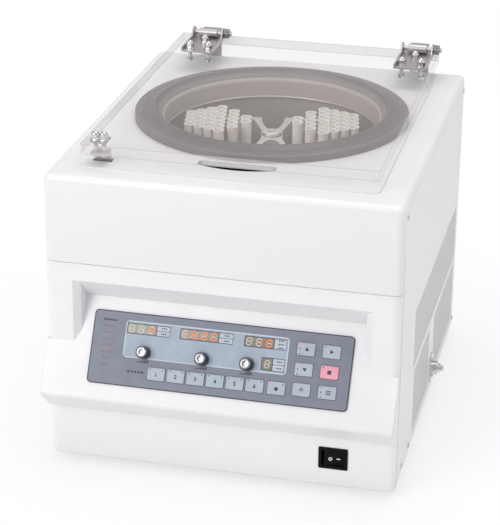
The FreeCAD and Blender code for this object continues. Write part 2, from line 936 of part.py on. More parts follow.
def control_panel():
    low = (-panel_width / 2, panel_rise, 0)
    high = (panel_width / 2, panel_rise + panel_height, panel_thickness)
    plate = rounded_box(low, high, panel_corner)
    studs = [rod((x, y, -board_gap), stud_radius, board_gap) for x, y in stud_places()]
    plate = fused([plate] + studs)
    top = panel_thickness + overcut
    cuts = [key_block(centre, key_clearance, -overcut, top) for centre in key_layout().values()]
    cuts += display_blocks(display_clearance, panel_thickness - display_thickness, top)
    cuts += display_blocks(-display_ledge, -overcut, top)
    for x in knob_centres:
        cuts.append(rod((x, knob_rise, -overcut), knob_shaft_radius + knob_shaft_clearance, top + overcut))
    return on_slope(plate.cut(cuts))


def display_windows():
    return on_slope(group(display_blocks(0, panel_thickness - display_thickness, panel_thickness)))


def control_board():
    """The circuit board behind the panel, with a display block under each window and the three encoders."""
    inset = panel_seat + stud_edge
    low = (-panel_width / 2 + inset, panel_rise + inset, -board_gap - board_thickness)
    high = (panel_width / 2 - inset, panel_rise + panel_height - inset, -board_gap)
    pieces = [box(low, high)]
    pieces += display_blocks(-display_block_inset, -board_gap, -display_clearance)
    for x in knob_centres:
        half = encoder_size / 2
        top = -board_gap + encoder_size / 2
        pieces.append(box((x - half, knob_rise - half, -board_gap), (x + half, knob_rise + half, top)))
    return on_slope(fused(pieces))


def knob(x):
    """A control knob with a flat skirt, a ribbed grip and a shaft into its encoder."""
    base = panel_thickness + knob_gap
    top = base + knob_height
    skirt = rod((x, knob_rise, base), knob_radius, knob_skirt_height)
    grip = Part.makeCone(knob_grip_radius, knob_top_radius, knob_height, V(x, knob_rise, base), Z_AXIS)
    grip = grip.makeFillet(knob_edge_radius, edges_at(grip, top))
    shaft_bottom = -board_gap + encoder_size / 2 + encoder_gap
    shaft = rod((x, knob_rise, shaft_bottom), knob_shaft_radius, base + overcut - shaft_bottom)
    flutes = []
    for i in range(knob_flutes):
        angle = math.radians(360 / knob_flutes * i)
        flute_x = x + knob_flute_reach * math.cos(angle)
        flute_y = knob_rise + knob_flute_reach * math.sin(angle)
        flutes.append(rod((flute_x, flute_y, base + knob_flute_foot), knob_flute_radius, knob_height))
    return on_slope(fused([skirt, grip, shaft]).cut(flutes))


def switch_frame():
    """The power switch's body with its rim, hollow in front for the rocker."""
    rim = switch_box(switch_rim, -switch_rim_height, 0)
    rim = rim.makeFillet(switch_rim_corner, edges_along(rim, Y_AXIS))
    inset = -switch_clearance / 2
    well = switch_box(inset - switch_wall, -switch_rim_height, switch_depth - switch_floor)
    body = fused([rim, switch_box(inset, 0, switch_depth)]).cut(well)
    half_z = switch_height / 2 + inset
    pin = rod((switch_x, rocker_pin_depth, switch_z - half_z), rocker_pin_radius, 2 * half_z)
    return fused([body, pin])


def power_rocker():
    """The rocker, shown pressed at its right-hand end."""
    inset = switch_clearance / 2 + switch_wall + rocker_clearance
    half_z = switch_height / 2 - inset
    half_x = switch_width / 2 - inset - rocker_end_room
    shoulder_y = rocker_pin_depth - rocker_shoulder
    cam_y = rocker_pin_depth + rocker_cam_reach
    outline = [
        (switch_x - half_x, rocker_face_depth),
        (switch_x, rocker_face_depth + rocker_dish),
        (switch_x + half_x, rocker_face_depth),
        (switch_x + half_x, shoulder_y),
        (switch_x + rocker_cam_half, cam_y),
        (switch_x - rocker_cam_half, cam_y),
        (switch_x - half_x, shoulder_y),
    ]
    rocker = prism_along_z(outline, switch_z - half_z, switch_z + half_z)
    bore_radius = rocker_pin_radius + rocker_pin_clearance
    rocker = rocker.cut(rod((switch_x, rocker_pin_depth, switch_z - half_z), bore_radius, 2 * half_z))
    rocker.rotate(V(switch_x, rocker_pin_depth, 0), Z_AXIS, rocker_tilt)
    return rocker


# Chamber

def chamber_bowl():
    outer_radius = bowl_radius + bowl_wall
    outer = chamber_rod(outer_radius, bowl_floor - bowl_wall, bowl_flange_top)
    inner = chamber_rod(bowl_radius, bowl_floor, bowl_flange_top)
    outer = outer.makeFillet(bowl_corner + bowl_wall, edges_at(outer, bowl_floor - bowl_wall))
    inner = inner.makeFillet(bowl_corner, edges_at(inner, bowl_floor))
    flange = chamber_rod(bowl_flange_radius, pad_top, bowl_flange_top)
    bowl = outer.fuse(flange).removeSplitter().cut(inner)
    return bowl.cut(chamber_rod(shaft_radius + shaft_hole_clearance, insulation_bottom, trunnion_z))


def chamber_gasket():
    """The rubber ring round the chamber's mouth: a stepped flange, a raised lip and an inner skirt."""
    lip_top = lid_bottom - gasket_lip_gap
    skirt_outer = bowl_radius - gasket_seat_gap
    skirt_inner = skirt_outer - gasket_skirt_wall
    skirt_bottom = bowl_flange_top - gasket_skirt_depth
    flange_edge = bowl_flange_radius + gasket_seat_gap
    outline = [(gasket_radius, pad_top)]
    outline += [(gasket_radius - inwards, pad_top + up) for inwards, up in gasket_outer_steps]
    outline += [(gasket_lip_radius + side * gasket_lip_half, lip_top) for side in (1, -1)]
    outline += [(gasket_lip_radius - inwards, pad_top + up) for inwards, up in gasket_inner_steps]
    outline += [
        (skirt_inner, pad_top),
        (skirt_inner, skirt_bottom),
        (skirt_outer, skirt_bottom),
        (skirt_outer, bowl_flange_top),
        (flange_edge, bowl_flange_top),
        (flange_edge, pad_top),
    ]
    return turned(outline, 0, chamber_y)


def chamber_insulation():
    outer = chamber_rod(insulation_radius, insulation_bottom, insulation_top)
    inner = chamber_rod(insulation_inner, bowl_floor - bowl_wall, insulation_top)
    hole = chamber_rod(shaft_radius + 2 * shaft_hole_clearance, insulation_bottom, bowl_floor)
    cup_room = cup_plan(cup_flange + cup_clearance, pad_top - cup_depth - cup_clearance, insulation_top)
    return outer.cut([inner, hole, cup_room])


def evaporator_coil():
    """Level turns of copper tube round the bowl, joined by short risers."""
    first = bowl_floor + bowl_corner
    turns = []
    for i in range(coil_turns):
        centre = V(0, chamber_y, first + i * coil_pitch)
        turns.append(Part.makeTorus(coil_radius, coil_tube_radius, centre, Z_AXIS))
    for i in range(coil_turns - 1):
        angle = math.radians(coil_riser_turn * i)
        x = coil_radius * math.cos(angle)
        y = chamber_y + coil_radius * math.sin(angle)
        turns.append(rod((x, y, first + i * coil_pitch), coil_riser_radius, coil_pitch))
    return fused(turns)


# Drive and rotor

def motor_housing():
    body = chamber_rod(motor_radius, motor_bottom, motor_top)
    half = motor_flange_width / 2
    low = (-half, chamber_y - half, motor_flange_bottom)
    high = (half, chamber_y + half, motor_flange_bottom + motor_flange_thickness)
    body = body.fuse(rounded_box(low, high, damper_radius)).removeSplitter()
    cavity = chamber_rod(motor_radius - motor_wall, motor_bottom + motor_wall, motor_top - motor_wall)
    bore = chamber_rod(shaft_radius + bearing_clearance, motor_bottom + motor_wall, motor_top)
    return body.cut([cavity, bore])


def damper_places():
    reach = motor_flange_width / 2 - damper_inset
    return [(x, chamber_y + y) for x in (-reach, reach) for y in (-reach, reach)]


def motor_dampers():
    return group([rod((x, y, stand_top), damper_radius, damper_height) for x, y in damper_places()])


def motor_stand():
    half = stand_width / 2
    top = box((-half, chamber_y - half, stand_top - stand_thickness), (half, chamber_y + half, stand_top))
    legs = []
    for x in (-half, half - stand_leg):
        for y in (chamber_y - half, chamber_y + half - stand_leg):
            legs.append(box((x, y, base_top), (x + stand_leg, y + stand_leg, stand_top - stand_thickness)))
    stand = fused([top] + legs)
    return stand.cut(chamber_rod(motor_radius + stand_hole_clearance, base_top, deck))


def drive_shaft():
    """The motor's shaft with its armature and the threaded stud on top."""
    bottom = motor_bottom + motor_wall + bearing_clearance
    shaft = chamber_rod(shaft_radius, bottom, hub_top)
    armature = chamber_rod(motor_radius - motor_wall - armature_clearance,
                           motor_bottom + motor_wall + armature_clearance,
                           motor_top - motor_wall - armature_clearance)
    stud = chamber_rod(shaft_stud_radius, hub_top, hub_top + stud_length)
    return fused([shaft, armature, stud])


def yoke_outline():
    """Half of the yoke's plan, from the hub's waist out to one arm's end, as (x, y) about the axis."""
    arm_end = swing_offset + arm_overhang
    return [
        (yoke_waist, 0),
        (yoke_waist, yoke_shoulder_start),
        (yoke_shoulder, arm_inner - arm_thickness),
        (yoke_shoulder + arm_thickness / 2, arm_inner),
        (arm_end, arm_inner),
        (arm_end, arm_outer),
        (0, arm_outer),
    ]


def rotor_yoke():
    """An X of four arms round the hub; open slots in the arms hold the buckets' trunnions."""
    bottom = yoke_top - yoke_depth
    right_rear = yoke_outline()
    right_front = [(x, -y) for x, y in reversed(right_rear)]
    right = right_front + right_rear[1:]
    left = [(-x, y) for x, y in reversed(right)]
    outline = [(x, chamber_y + y) for x, y in right + left[1:-1]]
    plate = prism_along_z(outline, bottom, yoke_top)
    ends = [e for e in edges_along(plate, Z_AXIS) if abs(e.CenterOfMass.x) > swing_offset]
    plate = plate.makeFillet(arm_thickness / 3, ends)
    hub = chamber_rod(yoke_waist, hub_top - hub_depth, hub_top)
    pocket = chamber_rod(hub_pocket_radius, hub_top, yoke_top)
    cuts = [pocket, chamber_rod(shaft_radius, bottom - hub_depth, hub_top)]
    notch_reach = arm_outer + arm_thickness
    for side in (-1, 1):
        notch = Part.Ellipse(V(0, 0, 0), notch_reach - yoke_notch_floor, yoke_notch_half_width).toShape()
        disc = Part.Face(Part.Wire([notch])).extrude(V(0, 0, yoke_depth))
        disc.rotate(V(0, 0, 0), Z_AXIS, 90)
        disc.translate(V(0, chamber_y + side * notch_reach, bottom))
        cuts.append(disc)
        y_low, y_high = sorted((chamber_y + side * arm_inner, chamber_y + side * arm_outer))
        for end in (-1, 1):
            x = end * swing_offset
            radius = trunnion_radius + trunnion_clearance
            cuts.append(rod((x, y_low, trunnion_z), radius, y_high - y_low, Y_AXIS))
            cuts.append(box((x - radius, y_low, trunnion_z), (x + radius, y_high, yoke_top)))
    return about_rotor(fused([plate, hub]).cut(cuts), rotor_turn)


def rotor_knob():
    """The nut that holds the yoke down, with a hexagonal socket in its top."""
    top = hub_top + rotor_knob_height
    body = chamber_rod(rotor_knob_radius, hub_top, top)
    body = body.makeFillet(rotor_knob_edge, edges_at(body, top))
    socket = hexagon(0, chamber_y, top - rotor_knob_socket_depth, top + overcut, rotor_knob_socket)
    bore = chamber_rod(shaft_stud_radius + bearing_clearance, hub_top, hub_top + stud_length + overcut)
    return about_rotor(body.cut([socket, bore]), rotor_turn)


def tube_places():
    """The tubes' centres about a bucket's axis: x outwards from the rotor, y along the trunnions."""
    columns = [(i * outer_column_pitch, n) for i, n in enumerate(outer_column_counts)]
    columns += [(-(i + 1) * inner_column_pitch, n) for i, n in enumerate(inner_column_counts)]
    places = []
    for x, count in columns:
        for i in range(count):
            places.append((widest_column_offset + x, (i - (count - 1) / 2) * tube_pitch))
    return places


def bucket_outline():
    """The bucket's plan about its axis: straight walls round the tube pattern."""
    reach = tube_rim_radius + bucket_wall
    outer = widest_column_offset + (len(outer_column_counts) - 1) * outer_column_pitch + reach
    inner = len(inner_column_counts) * inner_column_pitch + reach - widest_column_offset
    outer_half = (outer_column_counts[-1] - 1) / 2 * tube_pitch + bucket_outer_shoulder
    inner_half = (inner_column_counts[-1] - 1) / 2 * tube_pitch + bucket_inner_shoulder
    right_side = [
        (outer, outer_half),
        (bucket_ear_radius, bucket_half_length),
        (-bucket_ear_radius, bucket_half_length),
        (-inner, inner_half),
    ]
    return right_side + [(x, -y) for x, y in reversed(right_side)]


def bucket(end):
    """One bucket: a bored block with two upright ears that carry its trunnions."""
    centre_x = end * swing_offset
    outline = [(centre_x + end * x, chamber_y + y) for x, y in bucket_outline()]
    body = prism_along_z(outline, bucket_bottom, bucket_rim)
    body = body.makeFillet(bucket_corner, edges_along(body, Z_AXIS))
    pieces = [body]
    for side in (-1, 1):
        inner_y = chamber_y + side * (bucket_half_length - bucket_ear_thickness)
        outer_y = chamber_y + side * bucket_half_length
        y_low, y_high = sorted((inner_y, outer_y))
        pieces.append(rod((centre_x, y_low, trunnion_z), bucket_ear_radius, y_high - y_low, Y_AXIS))
        ear_low = (centre_x - bucket_ear_radius, y_low, bucket_rim - bucket_ear_radius)
        pieces.append(box(ear_low, (centre_x + bucket_ear_radius, y_high, trunnion_z)))
        y_low, y_high = sorted((inner_y, chamber_y + side * arm_outer))
        pieces.append(rod((centre_x, y_low, trunnion_z), trunnion_radius, y_high - y_low, Y_AXIS))
    holes = []
    for x, y in tube_places():
        place = (centre_x + end * x, chamber_y + y, tube_bottom)
        holes.append(rod(place, tube_radius + tube_clearance, bucket_rim - tube_bottom))
    return about_rotor(fused(pieces).cut(holes), rotor_turn)


def tubes(end):
    """Sample tubes, each one solid with its contents up to just below the rim."""
    solids = []
    for dx, dy in tube_places():
        x = end * (swing_offset + dx)
        y = chamber_y + dy
        stem = rod((x, y, tube_bottom), tube_radius, tube_length)
        stem = stem.makeFillet(tube_bottom_radius, edges_at(stem, tube_bottom))
        rim = rod((x, y, tube_top - tube_rim_height), tube_rim_radius, tube_rim_height)
        mouth = rod((x, y, tube_top - tube_fill_drop), tube_radius - tube_wall, tube_fill_drop)
        solids.append(stem.fuse(rim).removeSplitter().cut(mouth))
    return about_rotor(group(solids), rotor_turn)


# Lid, hinges and lock

def strike_bolt_places():
    return [(strike_x + side * strike_bolt_spacing / 2, strike_y - strike_leaf / 2) for side in (-1, 1)]


def lid_bolt_places():
    places = []
    for centre in hinge_centres:
        for dx, dy in hinge_bolt_offsets:
            places.append((centre + dx, hinge_pin_y + dy))
    return places + strike_bolt_places()


def lid_plate():
    low = (-lid_width / 2, lid_front, lid_bottom)
    plate = rounded_box(low, (lid_width / 2, lid_rear, lid_top), lid_corner)
    hole_radius = bolt_radius + bolt_clearance
    holes = [rod((x, y, lid_bottom), hole_radius, lid_thickness) for x, y in lid_bolt_places()]
    return plate.cut(holes)


def lid_fasteners():
    """Bolts up through the lid plate, each with a washer and a domed nut on top."""
    solids = []
    seat = lid_top + hinge_sheet
    nut_base = seat + washer_thickness
    nut_top = nut_base + nut_height
    for x, y in lid_bolt_places():
        head_top = lid_bottom - strike_sheet if y < chamber_y else lid_bottom
        head = rod((x, y, head_top - bolt_head_height), bolt_head_radius, bolt_head_height)
        shank = rod((x, y, head_top), bolt_radius, nut_base - head_top)
        washer_hole = rod((x, y, seat), bolt_radius + washer_clearance, washer_thickness)
        washer = rod((x, y, seat), washer_radius, washer_thickness).cut(washer_hole)
        nut = hexagon(x, y, nut_base, nut_top, nut_radius)
        dome = Part.makeSphere(nut_dome_radius, V(x, y, nut_top), Z_AXIS, 0, 90, 360)
        solids.extend([fused([head, shank]), washer, fused([nut, dome])])
    return group(solids)


def hinge_leaf(centre):
    """The moving half of a hinge: a plate on the lid with an ear turned up on each side."""
    low_x = centre - hinge_width / 2
    high_x = centre + hinge_width / 2
    plate = box((low_x, hinge_leaf_front, lid_top), (high_x, hinge_leaf_rear, lid_top + hinge_sheet))
    ear_top = hinge_pin_z + hinge_ear_radius
    outline = [
        (hinge_leaf_front, lid_top),
        (hinge_leaf_front, lid_top + hinge_ear_front_rise),
        (hinge_pin_y - 2 * hinge_ear_radius, lid_top + hinge_ear_front_rise),
        (hinge_pin_y - hinge_ear_radius / 2, ear_top),
        (hinge_pin_y + hinge_ear_radius / 2, ear_top),
        (hinge_leaf_rear, hinge_pin_z),
        (hinge_leaf_rear, lid_top),
    ]
    ears = [prism_along_x(outline, x, x + hinge_sheet) for x in (low_x, high_x - hinge_sheet)]
    leaf = fused([plate] + ears)
    bore_radius = hinge_pin_radius + hinge_pin_clearance
    holes = [rod((low_x, hinge_pin_y, hinge_pin_z), bore_radius, hinge_width, X_AXIS)]
    for dx, dy in hinge_bolt_offsets:
        holes.append(rod((centre + dx, hinge_pin_y + dy, lid_top), bolt_radius + bolt_clearance, hinge_sheet))
    return leaf.cut(holes)


def hinge_leaves():
    return group([hinge_leaf(centre) for centre in hinge_centres])


def hinge_base(centre):
    """A hinge's fixed half: an arm from the rear panel over the lid's edge, and the pin in its knuckle."""
    half = hinge_arm_width / 2
    arm_bottom = hinge_pin_z - hinge_arm_thickness
    rear = casing_depth + hinge_arm_thickness
    arm = box((centre - half, hinge_pin_y, arm_bottom), (centre + half, rear, hinge_pin_z))
    drop = box((centre - half, casing_depth, deck - hinge_arm_drop), (centre + half, rear, hinge_pin_z))
    knuckle_start = (centre - hinge_knuckle_half, hinge_pin_y, hinge_pin_z)
    knuckle = rod(knuckle_start, hinge_knuckle_radius, 2 * hinge_knuckle_half, X_AXIS)
    pin_length = hinge_width + 2 * hinge_pin_end + spring_length
    pin_start = (centre - hinge_width / 2 - hinge_pin_end, hinge_pin_y, hinge_pin_z)
    pin = rod(pin_start, hinge_pin_radius, pin_length, X_AXIS)
    holes = [rod(pin_start, hinge_pin_radius + pressed_clearance, pin_length, X_AXIS)]
    for x, z in hinge_screw_places():
        holes.append(rod((x, casing_depth, z), screw_radius + screw_clearance, hinge_arm_thickness, Y_AXIS))
    return [fused([arm, drop, knuckle]).cut(holes), pin]


def hinge_bases():
    solids = []
    for centre in hinge_centres:
        solids.extend(hinge_base(centre))
    return group(solids)


def hinge_springs():
    """Close turns of spring wire on the pins, outside the right-hand ears."""
    solids = []
    turn_radius = spring_radius - spring_wire_radius
    for centre in hinge_centres:
        start = centre + hinge_width / 2 + spring_wire_radius + spring_gap
        pieces = []
        for i in range(spring_turns):
            place = V(start + i * spring_pitch, hinge_pin_y, hinge_pin_z)
            pieces.append(Part.makeTorus(turn_radius, spring_wire_radius, place, X_AXIS))
        core_start = (start - spring_wire_radius / 2, hinge_pin_y, hinge_pin_z)
        core_length = spring_pitch * (spring_turns - 1) + spring_wire_radius
        pieces.append(rod(core_start, turn_radius, core_length, X_AXIS))
        bore_start = (start - spring_wire_radius, hinge_pin_y, hinge_pin_z)
        bore = rod(bore_start, hinge_pin_radius + spring_pin_clearance, spring_length, X_AXIS)
        solids.append(fused(pieces).cut(bore))
    return group(solids)


def strike_block(y_low, z_low, z_high):
    """A plate of the tongue's width, ending at the tongue's rear face."""
    half = strike_width / 2
    return box((strike_x - half, y_low, z_low), (strike_x + half, strike_y + strike_sheet, z_high))


def strike_bracket():
    """The locking tongue, bolted under the lid, and the backing plate on top of it."""
    leaf_front = strike_y + strike_sheet - strike_leaf
    leaf_bottom = lid_bottom - strike_sheet
    leaf = strike_block(leaf_front, leaf_bottom, lid_bottom)
    tongue = strike_block(strike_y, lid_bottom - strike_depth, lid_bottom)
    window_half = strike_window / 2
    window_low = (strike_x - window_half, strike_y, lock_axis_z - window_half)
    window_high = (strike_x + window_half, strike_y + strike_sheet, lock_axis_z + window_half)
    bracket = fused([leaf, tongue]).cut(box(window_low, window_high))
    backing = strike_block(leaf_front, lid_top, lid_top + hinge_sheet)
    for x, y in strike_bolt_places():
        bracket = bracket.cut(rod((x, y, leaf_bottom), bolt_radius + bolt_clearance, strike_sheet))
        backing = backing.cut(rod((x, y, lid_top), bolt_radius + bolt_clearance, hinge_sheet))
    return group([bracket, backing])


def lock_housing():
    """The solenoid that pushes the lock bolt, fixed under the deck behind the slot."""
    front = strike_y + strike_sheet + slot_clearance_y + lock_housing_gap
    half_x = lock_housing_width / 2
    half_z = lock_housing_height / 2
    low = (strike_x - half_x, front, lock_axis_z - half_z)
    high = (strike_x + half_x, front + lock_housing_length, lock_axis_z + half_z)
    bore_length = lock_housing_length - lock_housing_end
    bore = rod((strike_x, front, lock_axis_z), lock_bolt_radius + lock_bolt_clearance, bore_length, Y_AXIS)
    return box(low, high).cut(bore)


def lock_bolt():
    """A round bolt with a chamfered tip."""
    start = strike_y + strike_sheet + lock_bolt_gap
    tip_radius = lock_bolt_radius - lock_bolt_chamfer
    tip_start = V(strike_x, start, lock_axis_z)
    tip = Part.makeCone(tip_radius, lock_bolt_radius, lock_bolt_chamfer, tip_start, Y_AXIS)
    body_start = (strike_x, start + lock_bolt_chamfer, lock_axis_z)
    return fused([tip, rod(body_start, lock_bolt_radius, lock_bolt_length - lock_bolt_chamfer, Y_AXIS)])


# Refrigeration, electrics and the drain

def compressor():
    """A hermetic can with domed ends on a foot plate."""
    bottom = base_top + compressor_foot
    top = base_top + compressor_height
    can = rod((compressor_x, compressor_y, bottom), compressor_radius, top - bottom)
    can = can.makeFillet(compressor_dome_radius, edges_at(can, bottom) + edges_at(can, top))
    foot_low = (compressor_x - compressor_radius, compressor_y - compressor_radius, base_top)
    foot_high = (compressor_x + compressor_radius, compressor_y + compressor_radius, bottom)
    foot = rounded_box(foot_low, foot_high, compressor_foot_corner)
    neck = rod((compressor_x, compressor_y, base_top), compressor_neck_radius, 2 * compressor_foot)
    return fused([can, foot, neck])


def condenser_coil():
    """A finned block behind the right-hand vents, with the tube's return bends at its rear end."""
    x_high = condenser_x + condenser_thickness
    block = box((condenser_x, condenser_front, condenser_bottom), (x_high, condenser_rear, condenser_top))
    grooves = []
    for i in range(1, int(condenser_length / condenser_pitch)):
        y = condenser_front + i * condenser_pitch
        y_low = y - condenser_groove / 2
        y_high = y + condenser_groove / 2
        for x in (condenser_x, x_high - condenser_groove):
            low = (x, y_low, condenser_bottom + condenser_frame)
            grooves.append(box(low, (x + condenser_groove, y_high, condenser_top - condenser_frame)))
    pieces = [block.cut(grooves)]
    foot_x = half_width - base_flange - seam_gap
    for y in (condenser_front, condenser_rear - condenser_foot):
        pieces.append(box((condenser_x, y, base_top), (foot_x, y + condenser_foot, condenser_bottom)))
    for i in range(bend_count):
        bend_z = condenser_bottom + bend_first + i * bend_pitch
        centre = V(condenser_x + condenser_thickness / 2, condenser_rear, bend_z)
        pieces.append(Part.makeTorus(bend_radius, bend_tube_radius, centre, X_AXIS))
    return fused(pieces)


def fan_shroud():
    """A box frame on the condenser with the fan's motor on three struts."""
    x_low = condenser_x - shroud_depth
    centre = (x_low, fan_y, fan_z)
    frame = box((x_low, condenser_front, condenser_bottom), (condenser_x, condenser_rear, condenser_top))
    frame = frame.cut(rod(centre, fan_radius + fan_tip_gap, shroud_depth, X_AXIS))
    pieces = [frame, rod(centre, fan_hub_radius, fan_motor_depth, X_AXIS)]
    for i in range(3):
        half = fan_strut_width / 2
        reach = fan_z + fan_radius + fan_tip_gap + fan_strut_seat
        strut = box((x_low, fan_y - half, fan_z), (x_low + fan_strut_depth, fan_y + half, reach))
        strut.rotate(V(*centre), X_AXIS, 120 * i)
        pieces.append(strut)
    pieces.append(rod(centre, fan_pin_radius, shroud_depth - fan_rear_gap, X_AXIS))
    return fused(pieces)


def fan_blades():
    x_low = condenser_x - shroud_depth + fan_motor_depth + fan_gap
    width = condenser_x - fan_rear_gap - x_low
    middle = x_low + width / 2
    centre = (x_low, fan_y, fan_z)
    half = fan_blade_width / 2
    pieces = [rod(centre, fan_hub_radius, width, X_AXIS)]
    for i in range(fan_blade_count):
        low = (middle - fan_blade_thickness / 2, fan_y - half, fan_z + fan_hub_radius - fan_blade_root)
        blade = box(low, (middle + fan_blade_thickness / 2, fan_y + half, fan_z + fan_radius))
        blade.rotate(V(middle, fan_y, fan_z), Z_AXIS, fan_blade_twist)
        blade = blade.common(rod(centre, fan_radius, width, X_AXIS))
        blade.rotate(V(*centre), X_AXIS, 360 / fan_blade_count * i)
        pieces.append(blade)
    return fused(pieces).cut(rod(centre, fan_pin_radius + fan_pin_clearance, width, X_AXIS))


def refrigerant_line():
    """Discharge, liquid and suction lines, with the filter drier."""
    can_top = base_top + compressor_height
    level = can_top + line_rise
    middle_x = condenser_x + condenser_thickness / 2
    tail_y = condenser_rear - line_tail
    discharge = pipe([
        (compressor_x, compressor_y, can_top),
        (compressor_x, compressor_y, level),
        (compressor_x, tail_y, level),
        (middle_x, tail_y, level),
        (middle_x, tail_y, condenser_top),
    ], pipe_radius, pipe_bend)
    liquid_y = condenser_front - line_front_gap
    liquid_z = condenser_bottom + bend_first
    drier_bottom = liquid_z + drier_rise
    drier_top = drier_bottom + drier_height
    liquid = pipe([
        (middle_x, condenser_front, liquid_z),
        (middle_x, liquid_y, liquid_z),
        (drier_x, liquid_y, liquid_z),
        (drier_x, drier_y, liquid_z),
        (drier_x, drier_y, drier_bottom),
    ], pipe_radius, pipe_bend)
    drier = rod((drier_x, drier_y, drier_bottom), drier_radius, drier_height)
    drier = drier.makeFillet(drier_dome, edges_at(drier, drier_bottom) + edges_at(drier, drier_top))
    feed = rod((drier_x, drier_y, drier_top), pipe_radius, insulation_bottom - drier_top)
    suction_x = compressor_x - suction_aside
    suction_z = level - suction_drop
    suction = pipe([
        (suction_x, compressor_y - suction_reach, insulation_bottom),
        (suction_x, compressor_y - suction_reach, suction_z),
        (suction_x, compressor_y - suction_tail, suction_z),
        (suction_x, compressor_y - suction_tail, can_top),
    ], pipe_radius, pipe_bend / 2)
    return group([discharge, liquid, drier, feed, suction])


def power_board():
    """The motor's drive board on stand-offs, with its heat sink and capacitors."""
    x_low = power_board_inset_x - half_width
    x_high = x_low + power_board_width
    y_low = power_board_inset_y
    y_high = y_low + power_board_depth
    z = base_top + power_board_rise
    top = z + board_thickness
    pieces = [box((x_low, y_low, z), (x_high, y_high, top))]
    for x in (x_low + standoff_inset, x_high - standoff_inset):
        for y in (y_low + standoff_inset, y_high - standoff_inset):
            pieces.append(rod((x, y, base_top), standoff_radius, power_board_rise))
    sink_x = x_low + heat_sink_inset
    sink_low = y_low + heat_sink_inset
    sink_high = y_high - heat_sink_inset
    pieces.append(box((sink_x, sink_low, top), (sink_x + heat_sink_width, sink_high, top + heat_sink_base)))
    for i in range(fin_count):
        x = sink_x + fin_thickness + i * fin_pitch
        pieces.append(box((x, sink_low, top), (x + fin_thickness, sink_high, top + heat_sink_height)))
    for i in range(capacitor_count):
        place = (x_low + capacitor_x, y_low + capacitor_y + i * capacitor_pitch, top)
        pieces.append(rod(place, capacitor_radius, capacitor_height))
    return fused(pieces)


def power_inlet():
    """A mains inlet in the rear panel: three blades in a recessed socket."""
    socket_floor = casing_depth - inlet_depth + inlet_floor
    face = casing_depth + inlet_flange_thickness
    body = inlet_box(0, casing_depth - inlet_depth, face)
    half_x = inlet_width / 2 + inlet_flange
    half_z = inlet_height / 2 + inlet_flange_rise
    flange_low = (inlet_x - half_x, casing_depth, inlet_z - half_z)
    flange_high = (inlet_x + half_x, face, inlet_z + half_z)
    flange = rounded_box(flange_low, flange_high, inlet_corner, Y_AXIS)
    pieces = [fused([body, flange]).cut(inlet_box(-inlet_wall, socket_floor, face))]
    half_blade = blade_width / 2
    for dx, dz in ((-blade_spacing, 0), (0, blade_rise), (blade_spacing, 0)):
        low = (inlet_x + dx - half_blade, socket_floor - overcut, inlet_z + dz - blade_height / 2)
        high = (inlet_x + dx + half_blade, casing_depth - blade_drop, inlet_z + dz + blade_height / 2)
        pieces.append(box(low, high))
    return fused(pieces)


def drain_port():
    """A flanged port on the right side for the defrost water's hose."""
    half_y = drain_flange_width / 2
    half_z = drain_flange_height / 2 - half_y
    flange_x = half_width + drain_flange_thickness
    body_x = flange_x + drain_body_length
    nipple_x = half_width + drain_reach - drain_nipple_chamfer
    inner_x = half_width - sheet - drain_spigot_length
    tip_radius = drain_nipple_radius - drain_nipple_chamfer
    tip_start = V(nipple_x, drain_y, drain_z)
    pieces = [
        box((half_width, drain_y - half_y, drain_z - half_z), (flange_x, drain_y + half_y, drain_z + half_z)),
        rod((half_width, drain_y, drain_z), drain_body_radius, body_x - half_width, X_AXIS),
        rod((body_x, drain_y, drain_z), drain_collar_radius, drain_collar_length, X_AXIS),
        rod((body_x, drain_y, drain_z), drain_nipple_radius, nipple_x - body_x, X_AXIS),
        Part.makeCone(drain_nipple_radius, tip_radius, drain_nipple_chamfer, tip_start, X_AXIS),
        rod((inner_x, drain_y, drain_z), drain_spigot_radius, half_width - inner_x, X_AXIS),
    ]
    bolts = []
    for z in (drain_z - half_z, drain_z + half_z):
        pieces.append(rod((half_width, drain_y, z), half_y, drain_flange_thickness, X_AXIS))
        bolts.append(rod((flange_x, drain_y, z), drain_bolt_radius, drain_bolt_height, X_AXIS))
    bore = rod((inner_x, drain_y, drain_z), drain_bore_radius, half_width + drain_reach - inner_x, X_AXIS)
    return group([fused(pieces).cut(bore)] + bolts)


